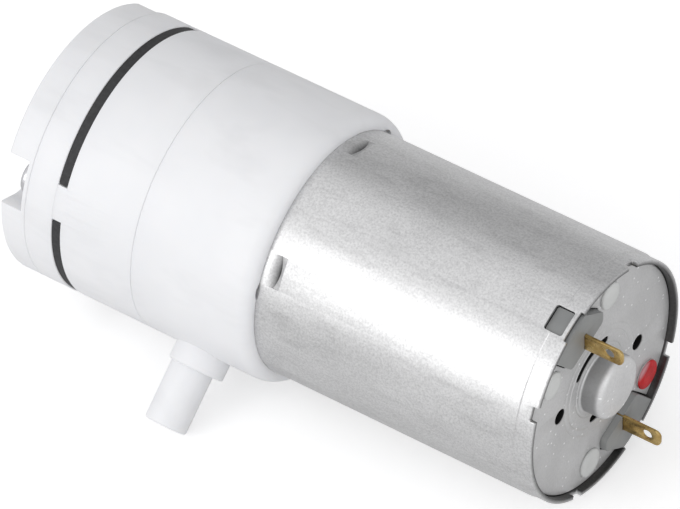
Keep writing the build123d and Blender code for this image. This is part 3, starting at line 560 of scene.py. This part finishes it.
def red_dab():
    """Brushed red paint, with a painted pink highlight along one side."""
    f = Finish("red_dab_of_paint")
    red = f.ramp(f.noise(900, 3), [(0.3, (0.42, 0.005, 0.008)), (0.7, (0.58, 0.010, 0.014))], True)
    # Painted highlight: a pale pink band along one side of the post's head.
    sheen_direction = Vector((0.0, cos(radians(117)), sin(radians(117))))
    painted_sheen = f.beside(outward(MOTOR_ROLL + POST_ROLLS[1]) * POST_CIRCLE, sheen_direction, 0.92, 1.32)
    f.colour(f.blend(painted_sheen, red, (0.52, 0.24, 0.26)))
    f.rough(f.noise(1500, 2), 0.34, 0.55)
    f.set(IOR=1.36)
    f.bump((f.noise(1100, 2), 2.5e-5))
    return f.mat


finishes = {
    "white_plastic": waxy_white(),
    "zinc_plated_steel": zinc_steel(),
    "end_plate_steel": plate_steel(),
    "terminal_brass": brass(),
    "black_rubber": matt_rubber("black_rubber", (0.022, 0.022, 0.023)),
    "valve_rubber": matt_rubber("valve_rubber", (0.03, 0.03, 0.034)),
    "grey_plastic": plain_moulding("grey_moulding", (0.225, 0.23, 0.23), (0.275, 0.28, 0.275)),
    "staked_plastic": plain_moulding("staked_grey_moulding", (0.57, 0.58, 0.57), (0.67, 0.68, 0.67)),
    "hub_plastic": plain_moulding("phenolic_moulding", (0.16, 0.08, 0.04), (0.24, 0.13, 0.07)),
    "washer_plastic": plain_moulding("natural_nylon", (0.72, 0.70, 0.62), (0.82, 0.80, 0.72)),
    "drive_plastic": plain_moulding("natural_acetal", (0.78, 0.78, 0.75), (0.86, 0.86, 0.84)),
    "carbon": plain_moulding("pressed_carbon", (0.02, 0.02, 0.02), (0.05, 0.05, 0.05), (0.5, 0.7)),
    "red_paint": red_dab(),
    "ferrite": plain_moulding("ferrite", (0.05, 0.05, 0.055), (0.09, 0.09, 0.095), (0.45, 0.65)),
    "sintered_bronze": plain_metal(
        "sintered_bronze", (0.36, 0.24, 0.12), (0.50, 0.36, 0.20), gloss=(0.4, 0.6), scale=3000
    ),
    "spring_steel": plain_metal("spring_strip", (0.36, 0.36, 0.38), (0.50, 0.50, 0.52), stretch=(0.2, 1, 1)),
    "copper_strip": plain_metal("copper_strip", (0.60, 0.26, 0.14), (0.80, 0.42, 0.26), stretch=(0.3, 1, 1)),
    "ground_steel": plain_metal(
        "ground_steel", (0.62, 0.62, 0.64), (0.76, 0.76, 0.78), gloss=(0.12, 0.22), stretch=(4, 1, 1)
    ),
    "core_steel": plain_metal(
        "stacked_sheet", (0.28, 0.29, 0.31), (0.46, 0.47, 0.49), gloss=(0.3, 0.5), stretch=(6, 0.4, 0.4)
    ),
    "enamelled_copper": plain_metal("enamelled_wire", (0.42, 0.14, 0.05), (0.66, 0.28, 0.12), (0.18, 0.3)),
    "screw_steel": plain_metal("bright_screws", (0.55, 0.55, 0.57), (0.78, 0.78, 0.80), (0.14, 0.28)),
}
for entry in frame["record"]["subparts"]:
    node = cad[entry["node"]]
    node.data.materials.clear()
    node.data.materials.append(finishes[entry["material_slot"]])


# Motor can: drawn cup with a rolled lip, windows, staking notches and four lanced dents
def dent_tool(roll, half=1.6, steps=20):
    """The form that a lance presses in: a ramp down to a bowed valley, a steep step and a shallow strip."""
    bm = bmesh.new()
    clear = 12.9
    rows = []
    for i in range(steps + 1):
        across = half * (2 * i / steps - 1)
        bow = 1 - (across / half) ** 2
        skin = (CAN_RADIUS**2 - across**2) ** 0.5
        line = [
            (-14.4, clear),
            (-14.4, skin),
            (-14.10 + 0.25 * bow, skin - 0.09 - 0.24 * bow),
            (-13.92 + 0.40 * bow, skin - 0.24 - 0.36 * bow),
            (-13.86 + 0.40 * bow, skin - 0.14),
            (-13.15, skin - 0.06),
            (-13.12, clear),
        ]
        aside = sideways(roll) * across
        rows.append([bm.verts.new(SHAFT * x + outward(roll) * out + aside) for x, out in line])
    for near, far in zip(rows, rows[1:]):
        for i in range(len(near)):
            j = (i + 1) % len(near)
            bm.faces.new((near[i], near[j], far[j], far[i]))
    bm.faces.new(rows[0])
    bm.faces.new(rows[-1])
    bmesh.ops.recalc_face_normals(bm, faces=bm.faces)
    return bm


def build_can():
    blank = turned(
        [
            (NOSE_FRONT, BEARING_SEAT),
            (NOSE_FRONT, NOSE_RADIUS, 0.3),
            (CAN_FRONT, NOSE_RADIUS, 0.3),
            (CAN_FRONT, CAN_RADIUS, 0.5),
            (13.35, CAN_RADIUS, 0.03),
            (13.45, RIM_RADIUS, 0.03),
            (RIM, RIM_RADIUS, 0.14),
            (RIM, SEAT_RADIUS, 0.08),
            (PLATE_INNER, SEAT_RADIUS),
            (PLATE_INNER, CAN_BORE),
            (CAN_FLOOR, CAN_BORE, 0.5),
            (CAN_FLOOR, BEARING_SEAT),
        ],
        around=256,
    )
    through = (9.0, 14.0)
    cutters = []
    for roll in MOTOR_ROLLS:
        cutters.append(wall_slab(WINDOW_STATION, roll + WINDOW_TURN, 1.95, 2.6, *through, 0.25))
        cutters.append(wall_slab(RIM, roll + WINDOW_TURN, 0.66, 3.16, *through, 0.1))
        for notch in NOTCH_ROLLS:
            cutters.append(wall_slab(RIM, roll + notch, 1.2, 1.5, *through, 0.12))
        for dent in DENT_ROLLS:
            cutters.append(dent_tool(roll + dent))
    for roll in MOTOR_SCREW_ROLLS:
        cutters.append(rod(1.25, 24, MOTOR_SCREW_CIRCLE, roll, CAN_FRONT - 1, CAN_FRONT + 2))
    set_piece("drawn_motor_can", carve(blank, cutters, edge=0.05), "zinc_plated_steel", ["motor_can"])


# End plate: sheet disc with a closed bearing boss, three pressed rings, slots, holes and terminal gates
def pressed_ring(outer, inner, depth, slope, outer_radius, inner_radius):
    """The corners of a shallow groove in the plate's face, from its outer edge inwards."""
    return [
        (PLATE_OUTER, outer, outer_radius),
        (PLATE_OUTER - depth, outer - slope[0], inner_radius),
        (PLATE_OUTER - depth, inner + slope[1], inner_radius),
        (PLATE_OUTER, inner, outer_radius),
    ]


def sight_hole():
    """A round hole that goes through the plate and on through the brush holder."""
    return ring_outline(0.8, 36, polar(6.35, 64))


def build_end_plate():
    blank = turned(
        [(PLATE_INNER, BEARING_SEAT), (PLATE_INNER, PLATE_RADIUS, 0.05), (PLATE_OUTER, PLATE_RADIUS, 0.12)]
        + pressed_ring(5.75, 5.43, 0.03, (0.07, 0.07), 0.06, 0.05)
        + pressed_ring(5.08, 4.68, 0.045, (0.10, 0.08), 0.06, 0.05)
        + pressed_ring(3.86, 3.58, 0.045, (0.08, 0.08), 0.04, 0.03)
        + [
            (PLATE_OUTER, BOSS_RADIUS, 0.2),
            (BOSS_FACE, BOSS_RADIUS, 0.6),
            (BOSS_FACE, 0.0),
            (BOSS_CEILING, 0.0),
            (BOSS_CEILING, BEARING_SEAT),
        ]
    )
    through = (13.0, 15.0)
    cutters = []
    for roll in MOTOR_ROLLS:
        cutters.append(face_slab(gate(7.375, 12.6, 21, 0.6), roll, *through))
        cutters.append(face_slab(arc_slot(4.25, 0.82, 32.5), roll - 4.5, *through))
        cutters.append(face_slab(sight_hole(), roll, *through))
        for post in POST_ROLLS:
            cutters.append(face_slab(ring_outline(1.15, 36, polar(POST_CIRCLE, post)), roll, *through))
    set_piece("pressed_end_plate", carve(blank, cutters, edge=0.05), "end_plate_steel", ["end_plate"])


# Brush holder: a grey disc behind the end plate, with gate blocks that the terminals come through
def build_brush_holder():
    blank = turned(
        [
            (HOLDER_FRONT, HOLDER_BORE),
            (HOLDER_FRONT, HOLDER_RADIUS, 0.1),
            (PLATE_INNER, HOLDER_RADIUS, 0.1),
            (PLATE_INNER, HOLDER_BORE),
        ]
    )
    slit = [(-0.92, -0.2), (0.92, -0.2), (0.92, 0.2), (-0.92, 0.2)]
    blocks, cutters = [], []
    for roll in MOTOR_ROLLS:
        blocks.append(face_slab(gate(7.475, 11.5, 20, 0.6, 0.1), roll, 13.0, 15.2))
        blocks.append(wall_slab(WINDOW_STATION, roll + WINDOW_TURN, 1.8, 2.45, 10.4, 11.8, 0.2))
        broad, thick = outward(roll - BLADE_TURN), sideways(roll - BLADE_TURN)
        cutters.append(slab(slit, 11.0, 16.0, outward(roll) * BLADE_CIRCLE, broad, thick, SHAFT))
        cutters.append(face_slab(sight_hole(), roll, 11.0, 14.0))
    holder = carve(blank, cutters, blocks, edge=0.1)
    set_piece("brush_holder_moulding", holder, "grey_plastic", ["brush_holder"])


# Staked posts: one form at four places, set out by geometry nodes
def set_out(name, places, form, finish, least, most, seed):
    """One form at each place, each a little different in size, joined into one plain mesh."""
    group = bpy.data.node_groups.new(name, "GeometryNodeTree")
    wanted = (
        ("Form", "NodeSocketObject", form),
        ("Least size", "NodeSocketFloat", least),
        ("Most size", "NodeSocketFloat", most),
        ("Seed", "NodeSocketInt", seed),
        ("Finish", "NodeSocketMaterial", finishes[finish]),
    )
    group.interface.new_socket("Places", in_out="INPUT", socket_type="NodeSocketGeometry")
    for label, kind, value in wanted:
        group.interface.new_socket(label, in_out="INPUT", socket_type=kind)
    group.interface.new_socket("Joined", in_out="OUTPUT", socket_type="NodeSocketGeometry")
    given = group.nodes.new("NodeGroupInput").outputs
    source = group.nodes.new("GeometryNodeObjectInfo")
    size = group.nodes.new("FunctionNodeRandomValue")
    copies = group.nodes.new("GeometryNodeInstanceOnPoints")
    real = group.nodes.new("GeometryNodeRealizeInstances")
    coated = group.nodes.new("GeometryNodeSetMaterial")
    result = group.nodes.new("NodeGroupOutput")
    size.data_type = "FLOAT"
    size_in = {entry.name: entry for entry in size.inputs if entry.enabled}
    size_out = [entry for entry in size.outputs if entry.enabled][0]
    for output, entry in (
        (given["Places"], copies.inputs["Points"]),
        (given["Form"], source.inputs["Object"]),
        (source.outputs["Geometry"], copies.inputs["Instance"]),
        (given["Least size"], size_in["Min"]),
        (given["Most size"], size_in["Max"]),
        (given["Seed"], size_in["Seed"]),
        (size_out, copies.inputs["Scale"]),
        (copies.outputs["Instances"], real.inputs["Geometry"]),
        (real.outputs["Geometry"], coated.inputs["Geometry"]),
        (given["Finish"], coated.inputs["Material"]),
        (coated.outputs["Geometry"], result.inputs[0]),
    ):
        group.links.new(output, entry)
    base = bpy.data.meshes.new("places")
    base.from_pydata([tuple(place * MM) for place in places], [], [])
    holder = to_scene("places", base)
    spread = holder.modifiers.new("set_out", "NODES")
    spread.node_group = group
    sockets = {item.name: item for item in group.interface.items_tree if item.in_out == "INPUT"}
    for label, kind, value in wanted:
        spread[sockets[label].identifier] = value
    mesh = bpy.data.meshes.new_from_object(holder.evaluated_get(bpy.context.evaluated_depsgraph_get()))
    holder.modifiers.remove(spread)
    bpy.data.objects.remove(holder)
    bpy.data.objects.remove(form)
    return mesh


def build_posts():
    profile = [
        (-1.5, 0.0),
        (-1.5, 1.1),
        (0.01, 1.1),
        (0.01, 1.45, 0.05),
        (0.24, 1.42, 0.16),
        (0.36, 0.9, 0.4),
        (0.37, 0.0),
    ]
    form = to_scene("post_form", in_metres(turned(profile, 64, 5)))
    places = []
    for roll in MOTOR_ROLLS:
        for post in POST_ROLLS:
            places.append(SHAFT * PLATE_OUTER + outward(roll + post) * POST_CIRCLE)
    posts = set_out("staked_posts", places, form, "staked_plastic", 0.96, 1.03, 7)
    set_piece("staked_posts", posts, "staked_plastic")


# Polarity mark: paint brushed over one post's head
def build_paint():
    roll = MOTOR_ROLL + POST_ROLLS[1]
    axis = (SHAFT * PLATE_OUTER + outward(roll) * POST_CIRCLE, SHAFT, outward(roll), sideways(roll))
    profile = [(0.1, 0.0), (0.1, 1.3), (0.12, 1.49, 0.04), (0.3, 1.46, 0.1), (0.45, 0.9, 0.4), (0.46, 0.0)]
    set_piece("polarity_paint", in_metres(turned(profile, 96, 5, axis)), "red_paint", ["polarity_mark"])


# Terminals: brass blades with rounded corners, broken edges and an eyelet, turned a little about their length
def build_terminals():
    half, side = BLADE_LENGTH / 2, 0.875
    shape = eased([(-half, -side, 0.3), (half, -side, 0.6), (half, side, 0.6), (-half, side, 0.3)], 6)
    for sign, roll in zip(("positive", "negative"), MOTOR_ROLLS):
        middle = SHAFT * BLADE_MIDDLE + outward(roll) * BLADE_CIRCLE
        broad, thick = outward(roll - BLADE_TURN), sideways(roll - BLADE_TURN)
        blank = slab(shape, -0.15, 0.15, middle, SHAFT, broad, thick)
        hole = slab(ring_outline(0.52, 40, (EYELET_PLACE, 0.0)), -1, 1, middle, SHAFT, broad, thick)
        blade = carve(blank, [hole], edge=0.06, angle=30)
        set_piece(f"{sign}_terminal_blade", blade, "terminal_brass", [f"terminal_{sign}"])


# Crankcase: turned shell, nozzle with its root boss, relief scallops in the lip
def build_crankcase():
    lip = []
    for i in range(11):
        angle = pi / 2 * (10 - i) / 10
        lip.append((HEAD_LIP - 1.5 * (1 - sin(angle)), HEAD_RADIUS - 1.1 * (1 - cos(angle))))
    socket = CAN_RADIUS + 0.01
    blank = turned(
        [(CAN_FRONT, BOSS_RADIUS), (CAN_FRONT, socket, 0.1), (HEAD_LIP, socket, 0.02)]
        + lip
        + [
            (BLOCK_SEAM, HEAD_RADIUS, 0.12),
            (BLOCK_SEAM, HEAD_BORE),
            (HEAD_FLOOR, HEAD_BORE, 0.4),
            (HEAD_FLOOR, BOSS_RADIUS),
        ]
    )
    axis = (SHAFT * NOZZLE_STATION, outward(0), SHAFT, sideways(0))
    boss_axis = (SHAFT * (NOZZLE_STATION + 0.35), outward(0), SHAFT, sideways(0))
    boss = turned([(12.4, 0.0), (12.4, 2.75), (15.25, 2.75, 0.28), (15.25, 0.0)], 64, 4, boss_axis)
    tube_line = [(12.6, 0.0), (12.6, NOZZLE_RADIUS), (NOZZLE_TIP, NOZZLE_RADIUS, 0.3), (NOZZLE_TIP, 0.0)]
    tube = turned(tube_line, 64, 4, axis)
    bore = turned([(6.4, 0.0), (6.4, NOZZLE_BORE), (22.0, NOZZLE_BORE), (22.0, 0.0)], 48, 1, axis)
    columns, cutters = [], [bore]
    for roll in SCREW_ROLLS:
        columns.append(rod(COLUMN_RADIUS, 40, SCREW_CIRCLE, roll, BLOCK_SEAM, -18.2))
        cutters.append(rod(1.5, 40, SCREW_CIRCLE, roll, HEAD_LIP - 0.5, HEAD_LIP + 1))
        cutters.append(rod(0.8, 24, SCREW_CIRCLE, roll, BLOCK_SEAM - 1, BLOCK_SEAM + 6.05))
    for roll in MOTOR_SCREW_ROLLS:
        cutters.append(rod(1.35, 24, MOTOR_SCREW_CIRCLE, roll, -19, -15))
    shell = carve(blank, cutters, columns + [boss, tube], edge=0.08)
    set_piece("crankcase_moulding", shell, "white_plastic", ["crankcase"])


# Cylinder block: the diaphragm's seat, with three bores and a lug at each screw
def build_cylinder_block():
    blank = turned(
        [
            (BLOCK_SEAM, HEAD_BORE),
            (BLOCK_SEAM, HEAD_RADIUS, 0.12),
            (BLOCK_TOP, HEAD_RADIUS, 0.1),
            (BLOCK_TOP, 0.0),
            (BLOCK_TOP + 2.4, 0.0),
            (BLOCK_TOP + 2.4, HEAD_BORE, 0.4),
        ]
    )
    through = (-40, -27)
    columns, cutters = [], []
    for roll in SCREW_ROLLS:
        columns.append(rod(COLUMN_RADIUS, 40, SCREW_CIRCLE, roll, BLOCK_TOP + 2, BLOCK_SEAM))
        columns.append(face_slab(sector(9.0, HEAD_RADIUS, 7.6), roll, VALVE_FACE, BLOCK_TOP + 0.2))
        cutters.append(rod(SCREW_HOLE, 32, SCREW_CIRCLE, roll, *through))
        cutters.append(rod(4.4, 64, CUP_CIRCLE, roll + CUP_TURN, *through))
        cutters.append(rod(PEG_HOLE, 24, SCREW_CIRCLE, roll + PEG_TURN, *through))
    block = carve(blank, cutters, columns, edge=0.07)
    set_piece("cylinder_block_moulding", block, "white_plastic", ["cylinder_block"])


# Valve plate: pockets and holes for the umbrella valves
def build_valve_plate():
    blank = turned(
        [(CAP_SEAM, 0.0), (CAP_SEAM, HEAD_RADIUS, 0.12), (VALVE_FACE, HEAD_RADIUS, 0.1), (VALVE_FACE, 0.0)]
    )
    through = (-42, PAST_VALVE_FACE)
    cutters = [
        rod(0.9, 32, 0.0, 0, VALVE_FACE - 0.75, PAST_VALVE_FACE),
        rod(0.5, 24, 0.0, 0, *through),
    ]
    for roll in SCREW_ROLLS:
        cup_roll = roll + CUP_TURN
        cutters.append(rod(SCREW_HOLE, 32, SCREW_CIRCLE, roll, *through))
        cutters.append(rod(PEG_HOLE, 24, SCREW_CIRCLE, roll + PEG_TURN, *through))
        cutters.append(rod(3.6, 64, CUP_CIRCLE, cup_roll, VALVE_FACE - 0.9, PAST_VALVE_FACE))
        cutters.append(rod(0.55, 24, 3.5, cup_roll, *through))
        cutters.append(rod(0.5, 24, VALVE_CIRCLE, cup_roll, *through))
        for turn in (60, 180, 300):
            hole = Vector((VALVE_CIRCLE, 0.0)) + Vector(polar(1.1, turn))
            cutters.append(face_slab(ring_outline(0.4, 20, tuple(hole)), cup_roll, *through))
    set_piece("valve_plate_moulding", carve(blank, cutters, edge=0.05), "white_plastic", ["valve_plate"])


# Cap: the outer cover, with an open pocket at each screw, two chambers behind and the outlet nozzle
def build_cap():
    blank = turned(
        [
            (CAP_SEAM, NOZZLE_BORE),
            (CAP_SEAM, HEAD_RADIUS, 0.12),
            (CAP_FACE, HEAD_RADIUS, 0.35),
            (CAP_FACE, NOZZLE_RADIUS, 0.25),
            (OUTLET_TIP, NOZZLE_RADIUS, 0.35),
            (OUTLET_TIP, NOZZLE_BORE, 0.12),
        ]
    )
    chamber_roof = CAP_SEAM - 1.5
    cutters = [
        rod(4.9, 64, 0.0, 0, chamber_roof, PAST_VALVE_FACE),
        rod(5.85, 64, 0.0, 0, CAP_SEAM - 0.75, PAST_VALVE_FACE),
    ]
    ring = [(chamber_roof, 6.6), (chamber_roof, 12.1), (PAST_VALVE_FACE, 12.1), (PAST_VALVE_FACE, 6.6)]
    chamber = to_scene("chamber", in_metres(turned(ring)))
    pocket = [polar(2.6, 90 + 180 * i / 24) for i in range(25)]
    pocket = [(SCREW_CIRCLE + a, b) for a, b in pocket] + [(15.0, -2.6), (15.0, 2.6)]
    wall_outline = [(7.6, -3.4), (15, -3.4), (15, 3.4), (7.6, 3.4)]
    walls = []
    for roll in SCREW_ROLLS:
        cutters.append(face_slab(pocket, roll, CAP_FACE - 2, CAP_FACE + 2.4))
        cutters.append(rod(SCREW_HOLE, 32, SCREW_CIRCLE, roll, -46, PAST_VALVE_FACE))
        walls.append(to_scene("wall", in_metres(face_slab(wall_outline, roll, -44, -35))))
        cut(chamber, walls[-1])
    hollow = bmesh.new()
    hollow.from_object(chamber, bpy.context.evaluated_depsgraph_get())
    hollow.transform(Matrix.Scale(1 / MM, 4))
    cover = carve(blank, cutters + [hollow], edge=0.08)
    for piece in [chamber] + walls:
        bpy.data.objects.remove(piece)
    set_piece("cap_moulding", cover, "white_plastic", ["cap"])


# Screws: pan heads with a cross recess, a turned shank and rolled threads
def screw(head_radius, head_height, shank, length, pitch):
    """A screw about X with its seat at 0: the head towards -X, the shank towards +X."""
    profile = [
        (-head_height, 0.0),
        (-head_height, head_radius, 0.42 * head_height),
        (-0.02, head_radius, 0.12),
        (-0.02, shank * 0.97),
    ]
    at = 0.4
    while at < length - pitch:
        profile += [(at, shank * 0.9), (at + pitch * 0.42, shank * 0.99), (at + pitch * 0.58, shank * 0.99)]
        at += pitch
    profile += [(length - 0.5, shank * 0.88), (length, shank * 0.4), (length, 0.0)]
    cross = []
    for a, b in ((1.0, 0.25), (0.25, 1.0)):
        outline = eased([(-a, -b, 0.1), (a, -b, 0.1), (a, b, 0.1), (-a, b, 0.1)])
        bar = slab(outline, -1.6, 1.6, Vector(), ACROSS, UPRIGHT, SHAFT)
        bmesh.ops.translate(bar, verts=bar.verts, vec=SHAFT * (-head_height - 1.0))
        cross.append(bar)
    return carve(turned(profile, 48, 4), cross, edge=0.04)


def place_screws(name, form, station, circle, rolls, node):
    """One screw at each roll, each driven home to another angle."""
    joined = bmesh.new()
    for count, roll in enumerate(rolls):
        turn = Matrix.Rotation(pi + NOZZLE_DROOP + radians(roll + 23 * count), 4, "X")
        place = Matrix.Translation(SHAFT * station + outward(roll) * circle)
        single = form.copy()
        single.transform(place @ turn @ Matrix.Scale(1 / MM, 4))
        joined.from_mesh(single)
        bpy.data.meshes.remove(single)
    set_piece(name, in_metres(joined), "screw_steel", [node])


def build_screws():
    cap_screw = screw(1.75, 1.1, 1.0, 18.5, 0.7)
    place_screws("cap_screw_set", cap_screw, CAP_SEAM - 0.4, SCREW_CIRCLE, SCREW_ROLLS, "cap_screws")
    motor_screw = screw(1.9, 1.5, 1.25, 3.6, 0.6)
    place_screws(
        "motor_screw_pair", motor_screw, HEAD_FLOOR, MOTOR_SCREW_CIRCLE, MOTOR_SCREW_ROLLS, "motor_screws"
    )


# Studio: a pale floor, a soft surround that is dimmer behind the pump, and two soft boxes
def show_white(tree, plain, lifted, rays):
    """The camera and the named rays see the lifted shader, and the rest of the light the plain one."""
    path = tree.nodes.new("ShaderNodeLightPath").outputs
    last = path["Is Camera Ray"]
    for ray in rays:
        either = tree.nodes.new("ShaderNodeMath")
        either.operation = "MAXIMUM"
        tree.links.new(last, either.inputs[0])
        tree.links.new(path[ray], either.inputs[1])
        last = either.outputs[0]
    pick = tree.nodes.new("ShaderNodeMixShader")
    tree.links.new(last, pick.inputs[0])
    tree.links.new(plain.outputs[0], pick.inputs[1])
    tree.links.new(lifted.outputs[0], pick.inputs[2])
    return path, pick


def lay_floor():
    height = cad_box[0][2]
    reach = 3.0
    corners = [(x * reach, y * reach, height) for x, y in ((-1, -1), (1, -1), (1, 1), (-1, 1))]
    mesh = bpy.data.meshes.new("floor")
    mesh.from_pydata(corners, [], [(0, 1, 2, 3)])
    floor = to_scene("floor", mesh)
    mat = bpy.data.materials.new("pale_floor")
    tree = bare_tree(mat)
    matt = tree.nodes.new("ShaderNodeBsdfDiffuse")
    matt.inputs["Color"].default_value = (0.80, 0.80, 0.80, 1)
    lift = tree.nodes.new("ShaderNodeEmission")
    lift.inputs["Strength"].default_value = 0.41
    both = tree.nodes.new("ShaderNodeAddShader")
    tree.links.new(matt.outputs[0], both.inputs[0])
    tree.links.new(lift.outputs[0], both.inputs[1])
    path, pick = show_white(tree, matt, both, ["Is Transmission Ray"])
    out = tree.nodes.new("ShaderNodeOutputMaterial")
    tree.links.new(pick.outputs[0], out.inputs["Surface"])
    mesh.materials.append(mat)


def light_studio():
    scene = bpy.context.scene
    scene.world = bpy.data.worlds.new("studio")
    tree = bare_tree(scene.world)
    place = tree.nodes.new("ShaderNodeTexCoord")
    facing = tree.nodes.new("ShaderNodeVectorMath")
    facing.operation = "DOT_PRODUCT"
    facing.inputs[1].default_value = Vector((0.0, -0.866, 0.5))
    spread = tree.nodes.new("ShaderNodeMapRange")
    spread.inputs["From Min"].default_value = -1
    ramp = tree.nodes.new("ShaderNodeValToRGB")
    band = ramp.color_ramp.elements
    band.new(0.5)
    band.new(0.7)
    for element, (at, tone) in zip(band, ((0.42, 0.47), (0.50, 0.82), (0.72, 0.93), (1.0, 1.0))):
        element.position = at
        element.color = (tone, tone, tone * 1.01, 1)
    tree.links.new(place.outputs["Generated"], facing.inputs[0])
    tree.links.new(facing.outputs["Value"], spread.inputs["Value"])
    tree.links.new(spread.outputs["Result"], ramp.inputs["Fac"])
    lit = tree.nodes.new("ShaderNodeBackground")
    lit.inputs["Strength"].default_value = 0.95
    mirrored = tree.nodes.new("ShaderNodeBackground")
    seen = tree.nodes.new("ShaderNodeBackground")
    seen.inputs["Color"].default_value = (1, 1, 1, 1)
    tree.links.new(ramp.outputs["Color"], lit.inputs["Color"])
    tree.links.new(ramp.outputs["Color"], mirrored.inputs["Color"])
    path, pick = show_white(tree, lit, mirrored, ["Is Glossy Ray", "Is Transmission Ray"])
    white = tree.nodes.new("ShaderNodeMixShader")
    tree.links.new(path["Is Camera Ray"], white.inputs[0])
    tree.links.new(pick.outputs[0], white.inputs[1])
    tree.links.new(seen.outputs[0], white.inputs[2])
    out = tree.nodes.new("ShaderNodeOutputWorld")
    tree.links.new(white.outputs[0], out.inputs["Surface"])
    for name, at, size, power in (
        ("front_soft_box", (-0.30, -0.54, 0.335), 0.45, 0.95),
        ("end_soft_box", (0.60, -0.16, 0.30), 0.40, 0.45),
    ):
        lamp = bpy.data.lights.new(name, "AREA")
        lamp.size = size
        lamp.energy = power
        aim = (-Vector(at)).to_track_quat("-Z", "Y").to_matrix().to_4x4()
        to_scene(name, lamp).matrix_world = Matrix.Translation(at) @ aim
    scene.view_settings.view_transform = "Standard"


aim_camera()
lay_floor()
light_studio()
build_can()
build_end_plate()
build_brush_holder()
build_posts()
build_paint()
build_terminals()
build_crankcase()
build_cylinder_block()
build_valve_plate()
build_cap()
build_screws()
